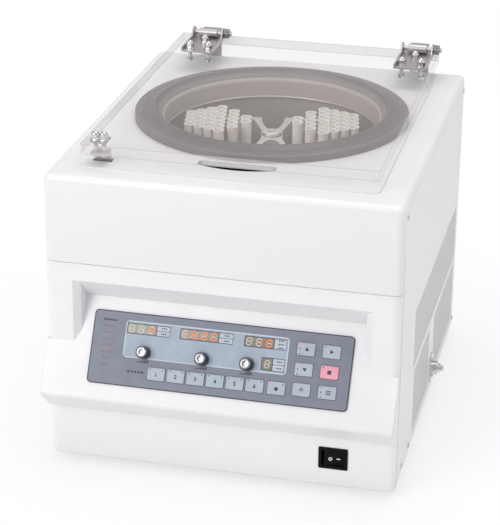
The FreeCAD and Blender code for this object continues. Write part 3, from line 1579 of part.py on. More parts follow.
def all_pieces():
    pieces = {
        "base_plate": base_plate(),
        "feet": feet(),
        "front_fascia": front_fascia(),
        "top_cover": top_cover(),
        "finger_cup": finger_cup(),
        "left_side_panel": side_panel(-1),
        "right_side_panel": side_panel(1),
        "rear_panel": rear_panel(),
        "panel_screws": panel_screws(),
        "control_panel": control_panel(),
        "display_windows": display_windows(),
        "control_board": control_board(),
        "switch_frame": switch_frame(),
        "power_rocker": power_rocker(),
        "chamber_bowl": chamber_bowl(),
        "chamber_gasket": chamber_gasket(),
        "chamber_insulation": chamber_insulation(),
        "evaporator_coil": evaporator_coil(),
        "motor_housing": motor_housing(),
        "motor_dampers": motor_dampers(),
        "motor_stand": motor_stand(),
        "drive_shaft": drive_shaft(),
        "rotor_yoke": rotor_yoke(),
        "rotor_knob": rotor_knob(),
        "left_bucket": bucket(-1),
        "left_tubes": tubes(-1),
        "right_bucket": bucket(1),
        "right_tubes": tubes(1),
        "lid_plate": lid_plate(),
        "lid_fasteners": lid_fasteners(),
        "hinge_leaves": hinge_leaves(),
        "hinge_bases": hinge_bases(),
        "hinge_springs": hinge_springs(),
        "strike_bracket": strike_bracket(),
        "lock_housing": lock_housing(),
        "lock_bolt": lock_bolt(),
        "compressor": compressor(),
        "condenser_coil": condenser_coil(),
        "fan_shroud": fan_shroud(),
        "fan_blades": fan_blades(),
        "refrigerant_line": refrigerant_line(),
        "power_board": power_board(),
        "power_inlet": power_inlet(),
        "drain_port": drain_port(),
    }
    for name, x in zip(("knob_temperature", "knob_speed", "knob_time"), knob_centres):
        pieces[name] = knob(x)
    for name, centre in key_layout().items():
        pieces[name] = key(centre)
    return pieces


def main():
    os.makedirs("parts", exist_ok=True)
    pieces = all_pieces()
    bounds = group(list(pieces.values())).BoundBox
    footprint_x = round(bounds.Center.x, origin_decimals)
    footprint_y = round(bounds.Center.y, origin_decimals)
    for name, shape in pieces.items():
        shape.translate(V(-footprint_x, -footprint_y, 0))
        shape.exportStep(f"parts/{name}.step")


main()
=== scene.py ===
import json
import math

import bpy
import bmesh
from mathutils import Matrix, Vector


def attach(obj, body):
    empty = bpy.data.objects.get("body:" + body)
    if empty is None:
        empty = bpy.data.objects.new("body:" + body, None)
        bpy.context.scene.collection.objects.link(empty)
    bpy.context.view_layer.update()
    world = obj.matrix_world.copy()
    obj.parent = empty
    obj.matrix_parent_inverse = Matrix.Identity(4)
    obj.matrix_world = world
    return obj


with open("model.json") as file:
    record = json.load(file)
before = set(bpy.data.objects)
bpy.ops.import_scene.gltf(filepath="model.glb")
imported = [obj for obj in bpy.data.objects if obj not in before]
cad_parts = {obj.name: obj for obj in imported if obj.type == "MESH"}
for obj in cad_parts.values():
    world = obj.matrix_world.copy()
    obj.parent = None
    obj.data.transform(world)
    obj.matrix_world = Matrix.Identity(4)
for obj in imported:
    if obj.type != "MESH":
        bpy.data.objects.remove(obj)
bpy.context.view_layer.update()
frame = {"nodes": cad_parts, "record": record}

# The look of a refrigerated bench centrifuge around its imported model.
# Sizes here are millimetres in the casing's own frame: x = 0 at its middle, y = 0 at its front plane
# and z = 0 on the floor. at() and on_panel() turn them into metres in the row frame.

MM = 0.001
CASING_ORIGIN = Vector((-7.9, -229.66, 0.0))

# The photograph's camera
IMAGE_HEIGHT = 525
SENSOR = 36.0
FOCAL_PIXELS = 1951.0
CAMERA_PLACE = (498.0, -1968.0, 1171.0)
CAMERA_YAW = math.radians(-13.24)
CAMERA_PITCH = math.radians(23.62)
CAMERA_ROLL = math.radians(0.48)

# The sloping control panel: a runs across, b up the slope and n out of it
SLOPE_FOOT = (0.0, -34.0, 105.0)
SLOPE_ANGLE = math.atan2(58.0, 34.0)
PANEL_WIDTH = 311.0
PANEL_LOW = 21.0
PANEL_HIGH = 108.0
PANEL_CORNER = 5.0
PANEL_FACE = 1.6
PRINT = 0.06
BORDER = 1.2
INSET = (-116.0, 55.0, 80.0, 98.5)
INSET_BORDER = 1.4
INSET_CORNER = 4.0

# Number windows: left edge, width, then the label block's width on the right, the text and how it lights
DISPLAY_RISE = 89.5
DISPLAY_HEIGHT = 12.7
DISPLAY_FRAME = 0.9
DISPLAYS = (
    {"left": -114.6, "width": 35.8, "label": 16.6, "text": "884", "unlit": 2, "rows": 2},
    {"left": -50.2, "width": 46.5, "label": 17.2, "text": "1500", "unlit": 0, "rows": 2},
    {"left": 26.8, "width": 35.5, "label": 14.6, "text": "810", "unlit": 1, "rows": 3},
)
PROGRAM = {"left": 49.8, "low": 58.0, "width": 13.2, "height": 15.0, "label": 14.0}

# Controls
KNOBS = {"knob_temperature": -91.0, "knob_speed": -20.6, "knob_time": 33.0}
KNOB_RISE = 62.5
KNOB_TOP = 13.0
KNOB_CAP_RADIUS = 5.7
KEY_FACE = 2.8
NUMBER_KEY_FIRST = -72.7
NUMBER_KEY_PITCH = 23.6
NUMBER_KEY_RISE = 39.0
MEMORY_KEY_ACROSS = 70.9
COMMAND_KEY_LEFT = 100.2
COMMAND_KEY_RIGHT = 130.3
COMMAND_KEY_RISES = (40.5, 63.8, 87.4)
LED_RADIUS = 0.95
LED_HALO = 1.7
LAMP_COLUMN = -136.0
LAMP_FIRST = 96.9
LAMP_PITCH = 7.53
LAMP_WIDTHS = (15.6, 13.4, 14.4, 14.2, 11.6, 15.4, 10.6, 11.0)

# Rocker switch
SWITCH_ACROSS = 136.7
SWITCH_PIN_DEPTH = 9.0
SWITCH_Z = 48.0
ROCKER_TILT = math.radians(9.0)
ROCKER_HALF_WIDTH = 12.1
ROCKER_END_DEPTH = 0.5
ROCKER_MIDDLE_DEPTH = 1.7

# Chamber and vents
CHAMBER_Y = 261.0
# Height above which the finger cup's forward-facing rear wall is made pale: painted light
CUP_LIT_WALL_LOW = 367.0
# Radii of the gasket's painted shadow line round its outer edge, then of the edge of its inner skirt's painted light
GASKET_SHADOW_LINE = (167.2, 168.4)
GASKET_LIT_SKIRT = (133.5, 136.0)
SKIRT_RADIUS = 132.3
SKIRT_BOTTOM = 350.7
HALF_WIDTH = 210.0
VENT_FIELDS = ((118.0, 470.0, 118.0, 193.0), (126.0, 258.0, 26.0, 110.0), (290.0, 470.0, 26.0, 110.0))
FILTER_DEPTH = 4.0
FILTER_PLEAT = 3.0
SIDE_SEAM_Y = 12.2
SIDE_SEAM_WIDTH = 1.3
SIDE_SEAM_LOW = 14.0
SIDE_SEAM_HIGH = 306.0

# Nodes with a finish of their own instead of their slot's
OWN_FINISH = {"finger_cup": "cup_plastic", "rotor_knob": "knob_satin"}


def at(x, y, z):
    """A point of the casing in the row frame, in metres."""
    return (CASING_ORIGIN + Vector((x, y, z))) * MM


def on_panel(a, b, n):
    """A point of the sloping panel in the row frame, in metres."""
    y = SLOPE_FOOT[1] + b * math.cos(SLOPE_ANGLE) - n * math.sin(SLOPE_ANGLE)
    z = SLOPE_FOOT[2] + b * math.sin(SLOPE_ANGLE) + n * math.cos(SLOPE_ANGLE)
    return at(a, y, z)


def on_rocker(across, up, out):
    """A point on the rocker's face, which is a shallow V about its pin, in metres."""
    share = 1 - abs(across) / ROCKER_HALF_WIDTH
    depth = ROCKER_END_DEPTH + (ROCKER_MIDDLE_DEPTH - ROCKER_END_DEPTH) * share - out
    offset = Vector((across, depth - SWITCH_PIN_DEPTH, 0.0))
    offset.rotate(Matrix.Rotation(ROCKER_TILT, 3, "Z"))
    return at(SWITCH_ACROSS + offset.x, SWITCH_PIN_DEPTH + offset.y, SWITCH_Z + up)


# Materials: each starts from one Principled shader; the helpers below add grain, colour and wear

def new_material(name, colour, roughness, metallic=0.0, **sockets):
    material = bpy.data.materials.new(name)
    material.use_nodes = True
    shader = shader_of(material)
    shader.inputs["Base Color"].default_value = (*colour, 1.0)
    shader.inputs["Roughness"].default_value = roughness
    shader.inputs["Metallic"].default_value = metallic
    for socket, value in sockets.items():
        shader.inputs[socket.replace("_", " ")].default_value = value
    return material


def shader_of(material):
    return next(node for node in material.node_tree.nodes if node.type == "BSDF_PRINCIPLED")


def add_node(material, kind, **settings):
    node = material.node_tree.nodes.new(kind)
    for setting, value in settings.items():
        setattr(node, setting, value)
    return node


def link(material, source, target):
    material.node_tree.links.new(source, target)


def object_coordinates(material, stretch=(1.0, 1.0, 1.0)):
    """Object coordinates, in metres, stretched to make a brushed or drawn grain."""
    coordinates = add_node(material, "ShaderNodeTexCoord")
    mapping = add_node(material, "ShaderNodeMapping")
    mapping.inputs["Scale"].default_value = stretch
    link(material, coordinates.outputs["Object"], mapping.inputs["Vector"])
    return mapping.outputs["Vector"]


def noise(material, grain, stretch=(1.0, 1.0, 1.0), detail=3.0):
    """Noise whose features are about one grain across, in millimetres."""
    texture = add_node(material, "ShaderNodeTexNoise")
    texture.inputs["Scale"].default_value = 1 / (grain * MM)
    texture.inputs["Detail"].default_value = detail
    link(material, object_coordinates(material, stretch), texture.inputs["Vector"])
    return texture.outputs["Fac"]


def spread(material, value, low, high, sharp=(0.3, 0.7)):
    """A noise value spread from low to high."""
    node = add_node(material, "ShaderNodeMapRange")
    for socket, number in zip(("From Min", "From Max", "To Min", "To Max"), (*sharp, low, high)):
        node.inputs[socket].default_value = number
    link(material, value, node.inputs["Value"])
    return node.outputs["Result"]


def mix_colours(material, factor, first, second):
    """A mix of two colours; each is an (r, g, b) or another node's output."""
    node = add_node(material, "ShaderNodeMix", data_type="RGBA")
    link(material, factor, node.inputs["Factor"])
    for socket, colour in zip((node.inputs[6], node.inputs[7]), (first, second)):
        if isinstance(colour, tuple):
            socket.default_value = (*colour, 1.0)
        else:
            link(material, colour, socket)
    return node.outputs[2]


def shade(colour, share):
    return tuple(channel * share for channel in colour)


def bump(material, height, depth, strength=1.0):
    """Adds relief whose full height is depth millimetres."""
    node = add_node(material, "ShaderNodeBump")
    node.inputs["Distance"].default_value = depth * MM
    node.inputs["Strength"].default_value = strength
    link(material, height, node.inputs["Height"])
    normal = shader_of(material).inputs["Normal"]
    if normal.is_linked:
        link(material, normal.links[0].from_socket, node.inputs["Normal"])
    link(material, node.outputs["Normal"], normal)


def soften_edges(material, radius):
    """Rounds the shading of sharp edges by a radius in millimetres."""
    node = add_node(material, "ShaderNodeBevel", samples=4)
    node.inputs["Radius"].default_value = radius * MM
    link(material, node.outputs["Normal"], shader_of(material).inputs["Normal"])


def to_shader(material, output, socket):
    link(material, output, shader_of(material).inputs[socket])


def openness(material, reach):
    """1 in the open, falling to 0 where other surfaces stand within a reach in millimetres; materials darken by it as
    painted shade.
    """
    shelter = add_node(material, "ShaderNodeAmbientOcclusion", samples=8)
    shelter.inputs["Distance"].default_value = reach * MM
    return spread(material, shelter.outputs["AO"], 0.0, 1.0, (0.35, 1.0))


def near_edges(material, radius):
    """1 beside sharp edges, within a radius in millimetres, and 0 elsewhere."""
    rounded = add_node(material, "ShaderNodeBevel", samples=8)
    rounded.inputs["Radius"].default_value = radius * MM
    geometry = add_node(material, "ShaderNodeNewGeometry")
    likeness = add_node(material, "ShaderNodeVectorMath", operation="DOT_PRODUCT")
    link(material, rounded.outputs["Normal"], likeness.inputs[0])
    link(material, geometry.outputs["Normal"], likeness.inputs[1])
    return spread(material, likeness.outputs["Value"], 1.0, 0.0, (0.90, 0.995))


def edge_wear(material):
    """1 on the convex edges that hands and cloths rub, 0 elsewhere."""
    geometry = add_node(material, "ShaderNodeNewGeometry")
    return spread(material, geometry.outputs["Pointiness"], 0.0, 1.0, (0.52, 0.58))


def painted_metal(name, colour, roughness=0.38, grain=1.4):
    """Powder coat: a fine orange peel, slow changes of tone and gloss, and slightly rubbed edges."""
    material = new_material(name, colour, roughness, Coat_Weight=0.12, Coat_Roughness=0.25)
    soften_edges(material, 1.4)
    tone = spread(material, noise(material, 90.0, detail=2.0), 0.0, 1.0)
    toned = mix_colours(material, tone, shade(colour, 0.975), colour)
    worn = mix_colours(material, edge_wear(material), toned, shade(colour, 0.94))
    to_shader(material, worn, "Base Color")
    to_shader(material, spread(material, noise(material, 14.0), roughness - 0.06, roughness + 0.08), "Roughness")
    bump(material, noise(material, grain), 0.035)
    return material


def moulded_plastic(name, colour, roughness, grain=0.5, depth=0.02, radius=0.5, **sockets):
    """Moulded plastic: a fine grain and slow changes of gloss."""
    material = new_material(name, colour, roughness, **sockets)
    soften_edges(material, radius)
    tone = spread(material, noise(material, 12.0, detail=2.0), 0.0, 1.0)
    to_shader(material, mix_colours(material, tone, shade(colour, 0.93), shade(colour, 1.04)), "Base Color")
    to_shader(material, spread(material, noise(material, 6.0), roughness * 0.85, roughness * 1.2), "Roughness")
    bump(material, noise(material, grain), depth)
    return material


def brushed_metal(name, colour, roughness, stretch, grain=0.5, depth=0.01, metallic=1.0):
    """Metal with a drawn or brushed grain: stretch squeezes the grain along the brush's way."""
    material = new_material(name, colour, roughness, metallic)
    soften_edges(material, 0.4)
    lines = noise(material, grain, stretch, detail=5.0)
    tone = spread(material, lines, 0.0, 1.0)
    smudges = spread(material, noise(material, 25.0), 0.0, 1.0)
    brushed = mix_colours(material, tone, shade(colour, 0.86), colour)
    to_shader(material, mix_colours(material, smudges, shade(colour, 0.9), brushed), "Base Color")
    to_shader(material, spread(material, lines, roughness * 0.8, roughness * 1.3), "Roughness")
    bump(material, lines, depth)
    return material


def rubber(name, colour, roughness=0.6, grain=0.7, depth=0.03):
    """Rubber: matt with a fine grain and a faint bloom."""
    material = new_material(name, colour, roughness)
    soften_edges(material, 0.6)
    bloom = spread(material, noise(material, 30.0), 0.0, 1.0)
    to_shader(material, mix_colours(material, bloom, shade(colour, 0.88), shade(colour, 1.1)), "Base Color")
    bump(material, noise(material, grain), depth)
    return material


def circuit_board():
    """Green lacquer over copper tracks."""
    material = new_material("circuit_board", (0.02, 0.14, 0.05), 0.35)
    tracks = add_node(material, "ShaderNodeTexBrick")
    tracks.inputs["Scale"].default_value = 1 / (9.0 * MM)
    tracks.inputs["Mortar Size"].default_value = 0.06
    tracks.inputs["Color1"].default_value = (0.02, 0.12, 0.05, 1.0)
    tracks.inputs["Color2"].default_value = (0.03, 0.18, 0.07, 1.0)
    tracks.inputs["Mortar"].default_value = (0.20, 0.32, 0.10, 1.0)
    link(material, object_coordinates(material), tracks.inputs["Vector"])
    to_shader(material, tracks.outputs["Color"], "Base Color")
    bump(material, tracks.outputs["Fac"], 0.03)
    return material


def clear_plastic():
    """The lid's clear sheet: see-through faces with a faint milky veil and a painted reflection that thickens it at
    glancing angles; its upright polished edge faces are denser, and it is denser and darker beside sharp edges,
    painted refraction light and shade.
    """
    material = new_material("clear_plastic", (0.70, 0.67, 0.67), 0.05)
    coordinates = add_node(material, "ShaderNodeTexCoord")
    axes = add_node(material, "ShaderNodeSeparateXYZ")
    link(material, coordinates.outputs["Normal"], axes.inputs["Vector"])
    upright = add_node(material, "ShaderNodeMath", operation="ABSOLUTE")
    link(material, axes.outputs["Z"], upright.inputs[0])
    glancing = add_node(material, "ShaderNodeLayerWeight")
    # painted reflection: the sheet grows more opaque towards glancing angles
    gleam = spread(material, glancing.outputs["Facing"], 0.0, 0.5, (0.62, 1.0))
    veil = spread(material, noise(material, 60.0), 0.048, 0.060)
    facing = add_node(material, "ShaderNodeMath", operation="ADD")
    link(material, veil, facing.inputs[0])
    link(material, gleam, facing.inputs[1])
    # painted refraction: the sheet's upright edge faces are denser than its flat faces
    clear = add_node(material, "ShaderNodeMix", data_type="FLOAT")
    link(material, upright.outputs["Value"], clear.inputs["Factor"])
    clear.inputs[2].default_value = 0.42
    link(material, facing.outputs["Value"], clear.inputs[3])
    # painted refraction shade: denser and darker beside the sheet's sharp edges
    rim = near_edges(material, 1.3)
    edged = add_node(material, "ShaderNodeMix", data_type="FLOAT")
    link(material, rim, edged.inputs["Factor"])
    link(material, clear.outputs[0], edged.inputs[2])
    edged.inputs[3].default_value = 0.9
    to_shader(material, edged.outputs[0], "Alpha")
    to_shader(material, mix_colours(material, rim, (0.70, 0.67, 0.67), (0.38, 0.36, 0.37)), "Base Color")
    return material


def cup_plastic():
    """Black plastic; the upper part of the cup's rear wall, where it faces forward, is made pale like the deck as
    painted light.
    """
    black = (0.006, 0.006, 0.007)
    material = new_material("cup_plastic", black, 0.4, Specular_IOR_Level=0.2)
    coordinates = add_node(material, "ShaderNodeTexCoord")
    axes = add_node(material, "ShaderNodeSeparateXYZ")
    link(material, coordinates.outputs["Normal"], axes.inputs["Vector"])
    forward = spread(material, axes.outputs["Y"], 1.0, 0.0, (-0.8, -0.6))
    places = add_node(material, "ShaderNodeSeparateXYZ")
    link(material, coordinates.outputs["Object"], places.inputs["Vector"])
    high = spread(material, places.outputs["Z"], 0.0, 1.0, (CUP_LIT_WALL_LOW * MM, (CUP_LIT_WALL_LOW + 0.5) * MM))
    # painted light: the forward-facing upper rear wall takes a pale colour
    painted = add_node(material, "ShaderNodeMath", operation="MULTIPLY")
    link(material, forward, painted.inputs[0])
    link(material, high, painted.inputs[1])
    to_shader(material, mix_colours(material, painted.outputs["Value"], black, (0.80, 0.79, 0.79)), "Base Color")
    bump(material, noise(material, 0.6), 0.02)
    return material


def tube_plastic():
    """Milky sample tubes: a slow change of tint from what they hold, and painted shade darkening their mouths."""
    milk = (0.84, 0.81, 0.78)
    material = new_material("tube_plastic", milk, 0.3, Subsurface_Weight=0.25, Subsurface_Scale=0.004)
    held = spread(material, noise(material, 26.0, (1.0, 1.0, 0.4), detail=1.0), 0.0, 1.0, (0.45, 0.75))
    tinted = mix_colours(material, held, milk, (0.80, 0.72, 0.60))
    # painted shade: the milk colour darkens to 0.78 of itself where other surfaces stand close, in the tubes' mouths
    shaded = mix_colours(material, openness(material, 5.0), shade(milk, 0.78), tinted)
    to_shader(material, shaded, "Base Color")
    bump(material, noise(material, 1.5), 0.02)
    return material


def glowing(name, colour):
    material = new_material(name, (0.0, 0.0, 0.0), 0.5)
    shader = shader_of(material)
    shader.inputs["Emission Color"].default_value = (*colour, 1.0)
    shader.inputs["Emission Strength"].default_value = 1.0
    return material


def gasket_rubber():
    """Grey rubber with faint moulding rings, painted shade in its steps, a painted shadow line round its outer edge
    and painted light on its inner skirt.
    """
    colour = (0.212, 0.184, 0.180)
    material = new_material("gasket_rubber", colour, 0.45)
    soften_edges(material, 0.8)
    coordinates = add_node(material, "ShaderNodeTexCoord")
    centred = add_node(material, "ShaderNodeMapping")
    centred.inputs["Location"].default_value = -at(0.0, CHAMBER_Y, 0.0)
    centred.inputs["Scale"].default_value = (1.0, 1.0, 0.0)
    link(material, coordinates.outputs["Object"], centred.inputs["Vector"])
    rings = add_node(material, "ShaderNodeTexWave", wave_type="RINGS", rings_direction="Z")
    rings.inputs["Scale"].default_value = 1 / (20.0 * MM)
    rings.inputs["Distortion"].default_value = 0.6
    link(material, centred.outputs["Vector"], rings.inputs["Vector"])
    bloom = spread(material, noise(material, 30.0), 0.0, 1.0)
    toned = mix_colours(material, bloom, shade(colour, 0.9), shade(colour, 1.1))
    # painted shade: the gasket's colour halves in its steps, where other surfaces stand close
    shade_in_steps = mix_colours(material, openness(material, 7.0), shade(colour, 0.5), toned)
    radius = add_node(material, "ShaderNodeVectorMath", operation="LENGTH")
    link(material, centred.outputs["Vector"], radius.inputs[0])
    # painted shadow: a darker line round the gasket's outer edge
    rim = spread(material, radius.outputs["Value"], 0.0, 1.0, (GASKET_SHADOW_LINE[0] * MM, GASKET_SHADOW_LINE[1] * MM))
    rim_shadowed = mix_colours(material, rim, shade_in_steps, shade(colour, 0.8))
    # painted light: the inner skirt's upright faces made 2.1 times lighter
    skirt = spread(material, radius.outputs["Value"], 1.0, 0.0, (GASKET_LIT_SKIRT[0] * MM, GASKET_LIT_SKIRT[1] * MM))
    to_shader(material, mix_colours(material, skirt, rim_shadowed, shade(colour, 2.1)), "Base Color")
    bump(material, rings.outputs["Fac"], 0.08, 0.4)
    bump(material, noise(material, 0.8), 0.03)
    return material


def build_materials():
    across = (0.03, 1.0, 1.0)
    upright = (1.0, 1.0, 0.03)
    along = (1.0, 0.03, 1.0)
    return {
        "white_paint": painted_metal("white_paint", (0.825, 0.815, 0.832)),
        "grey_sheet": painted_metal("grey_sheet", (0.42, 0.42, 0.43), 0.45),
        "black_sheet": painted_metal("black_sheet", (0.03, 0.03, 0.032), 0.5),
        "compressor_black": painted_metal("compressor_black", (0.02, 0.02, 0.022), 0.22, 2.5),
        "foot_rubber": rubber("foot_rubber", (0.025, 0.025, 0.026), 0.8),
        "gasket_rubber": gasket_rubber(),
        "panel_grey": moulded_plastic("panel_grey", (0.188, 0.204, 0.262), 0.42, 0.35, 0.015),
        "display_window": moulded_plastic("display_window", (0.235, 0.222, 0.180), 0.12, 3.0, 0.01),
        "circuit_board": circuit_board(),
        "switch_black": moulded_plastic("switch_black", (0.006, 0.006, 0.007), 0.35, Specular_IOR_Level=0.08),
        "black_plastic": moulded_plastic("black_plastic", (0.015, 0.015, 0.016), 0.55),
        "knob_plastic": brushed_metal("knob_plastic", (0.13, 0.13, 0.15), 0.32, upright, 0.4),
        "key_blue": moulded_plastic("key_blue", (0.400, 0.460, 0.535), 0.45, 0.4, 0.015, 0.7),
        "key_pink": moulded_plastic("key_pink", (0.800, 0.340, 0.440), 0.45, 0.4, 0.015, 0.7),
        "foam": rubber("foam", (0.62, 0.55, 0.36), 0.9, 2.5, 0.6),
        "tube_plastic": tube_plastic(),
        "clear_plastic": clear_plastic(),
        "bowl_steel": brushed_metal("bowl_steel", (0.50, 0.445, 0.43), 0.5, across, metallic=0.5),
        "bright_screws": brushed_metal("bright_screws", (0.72, 0.72, 0.73), 0.16, (1.0, 1.0, 1.0), 1.2),
        "copper": brushed_metal("copper", (0.66, 0.31, 0.18), 0.3, along),
        "motor_casting": brushed_metal("motor_casting", (0.42, 0.42, 0.43), 0.5, (1.0, 1.0, 1.0), 1.5, 0.15),
        "shaft_steel": brushed_metal("shaft_steel", (0.55, 0.55, 0.56), 0.22, upright),
        "rotor_aluminium": brushed_metal("rotor_aluminium", (0.72, 0.70, 0.69), 0.38, across, metallic=0.6),
        "knob_satin": brushed_metal("knob_satin", (0.82, 0.79, 0.78), 0.35, upright, metallic=0.5),
        "cup_plastic": cup_plastic(),
        "hinge_steel": brushed_metal("hinge_steel", (0.60, 0.57, 0.57), 0.42, across),
        "spring_steel": brushed_metal("spring_steel", (0.33, 0.33, 0.34), 0.28, upright),
        "fin_aluminium": brushed_metal("fin_aluminium", (0.55, 0.55, 0.56), 0.4, upright),
    }


def dress_frame(materials):
    """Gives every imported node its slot's material, or its own finish where it has one."""
    for part in frame["record"]["subparts"]:
        node = frame["nodes"][part["node"]]
        if not node.material_slots:
            node.data.materials.append(None)
        for slot in node.material_slots:
            slot.material = materials[OWN_FINISH.get(part["node"], part["material_slot"])]


# Mesh pieces

def rounded_rectangle(low_a, low_b, high_a, high_b, radius, steps=6):
    corners = (
        (high_a - radius, high_b - radius, 0),
        (low_a + radius, high_b - radius, 90),
        (low_a + radius, low_b + radius, 180),
        (high_a - radius, low_b + radius, 270),
    )
    points = []
    for a, b, start in corners:
        for i in range(steps + 1):
            angle = math.radians(start + 90 * i / steps)
            points.append((a + radius * math.cos(angle), b + radius * math.sin(angle)))
    return points


def circle(a, b, radius, steps=20):
    turns = [2 * math.pi * i / steps for i in range(steps)]
    return [(a + radius * math.cos(t), b + radius * math.sin(t)) for t in turns]


def add_prism(mesh, outline, bottom, top, place):
    """A flat piece with an outline, from bottom to top above a surface."""
    lower = [mesh.verts.new(place(a, b, bottom)) for a, b in outline]
    upper = [mesh.verts.new(place(a, b, top)) for a, b in outline]
    mesh.faces.new(upper)
    mesh.faces.new(list(reversed(lower)))
    for i in range(len(outline)):
        j = (i + 1) % len(outline)
        mesh.faces.new((lower[i], lower[j], upper[j], upper[i]))


def add_ring(mesh, outer, inner, bottom, top, place):
    """A flat frame between two outlines of as many points."""
    loops = [[mesh.verts.new(place(a, b, n)) for a, b in outline]
             for outline, n in ((outer, bottom), (outer, top), (inner, top), (inner, bottom))]
    for first, second in zip(loops, loops[1:] + loops[:1]):
        for i in range(len(outer)):
            j = (i + 1) % len(outer)
            mesh.faces.new((first[i], first[j], second[j], second[i]))


def add_turned(mesh, profile, centre, axis, steps=48):
    """A (radius, height) profile turned about an axis through a centre, in metres."""
    turn = axis.to_track_quat("Z", "Y")
    loops = []
    for radius, height in profile:
        loop = []
        for i in range(steps):
            angle = 2 * math.pi * i / steps
            point = Vector((radius * math.cos(angle), radius * math.sin(angle), height)) * MM
            loop.append(mesh.verts.new(centre + turn @ point))
        loops.append(loop)
    for low, high in zip(loops, loops[1:]):
        for i in range(steps):
            j = (i + 1) % steps
            mesh.faces.new((low[i], low[j], high[j], high[i]))
    return loops


def make_piece(name, mesh, material, body, smooth=True):
    """Turns a bmesh into a piece that rides on a body."""
    bmesh.ops.recalc_face_normals(mesh, faces=mesh.faces)
    data = bpy.data.meshes.new(name)
    mesh.to_mesh(data)
    mesh.free()
    data.materials.append(material)
    piece = bpy.data.objects.new(name, data)
    bpy.context.scene.collection.objects.link(piece)
    if smooth:
        data.shade_smooth()
        data.set_sharp_from_angle(angle=math.radians(35))
    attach(piece, body)
    return piece


def flat_piece(name, outlines, bottom, top, place, material, body):
    mesh = bmesh.new()
    for outline in outlines:
        add_prism(mesh, outline, bottom, top, place)
    return make_piece(name, mesh, material, body)


# Marks on the panel

def segment_bars(left, low, width, height, thickness):
    """The seven bars of a numeral, lettered a to g, as outlines."""
    lean = 0.08
    middle = low + height / 2
    right = left + width
    top = low + height
    gap = thickness * 0.18
    half = thickness / 2

    def level(y):
        return [(left + half + gap, y), (left + thickness + gap, y + half), (right - thickness - gap, y + half),
                (right - half - gap, y), (right - thickness - gap, y - half), (left + thickness + gap, y - half)]

    def upright(x, start, end):
        return [(x, start + half + gap), (x + half, start + thickness + gap), (x + half, end - thickness - gap),
                (x, end - half - gap), (x - half, end - thickness - gap), (x - half, start + thickness + gap)]

    bars = {
        "a": level(top - half), "g": level(middle), "d": level(low + half),
        "b": upright(right - half, middle - half, top), "c": upright(right - half, low, middle + half),
        "f": upright(left + half, middle - half, top), "e": upright(left + half, low, middle + half),
    }
    return {bar: [(x + (y - middle) * lean, y) for x, y in outline] for bar, outline in bars.items()}


NUMERAL_BARS = {"0": "abcdef", "1": "bc", "4": "bcfg", "5": "acdfg", "8": "abcdefg"}


def add_numerals(display, faint, lit):
    """Sorts a window's bars into lit ones and the faint ones that stay dark."""
    text = display["text"]
    pitch = display["width"] / len(text)
    for i, numeral in enumerate(text):
        left = display["left"] + i * pitch + pitch * 0.17
        bars = segment_bars(left, DISPLAY_RISE - DISPLAY_HEIGHT * 0.38, pitch * 0.62, DISPLAY_HEIGHT * 0.76, 1.55)
        for bar, outline in bars.items():
            shines = i >= display["unlit"] and bar in NUMERAL_BARS[numeral]
            (lit if shines else faint).append(outline)


def window_blocks(displays):
    """Each window with its label block: (low_a, low_b, split, high_a, high_b, rows)."""
    half = DISPLAY_HEIGHT / 2
    blocks = []
    for display in displays:
        split = display["left"] + display["width"]
        blocks.append((display["left"], DISPLAY_RISE - half, split, split + display["label"], DISPLAY_RISE + half,
                       display["rows"]))
    split = PROGRAM["left"] + PROGRAM["width"]
    blocks.append((PROGRAM["left"], PROGRAM["low"], split, split + PROGRAM["label"], PROGRAM["low"] + PROGRAM["height"], 2))
    return blocks


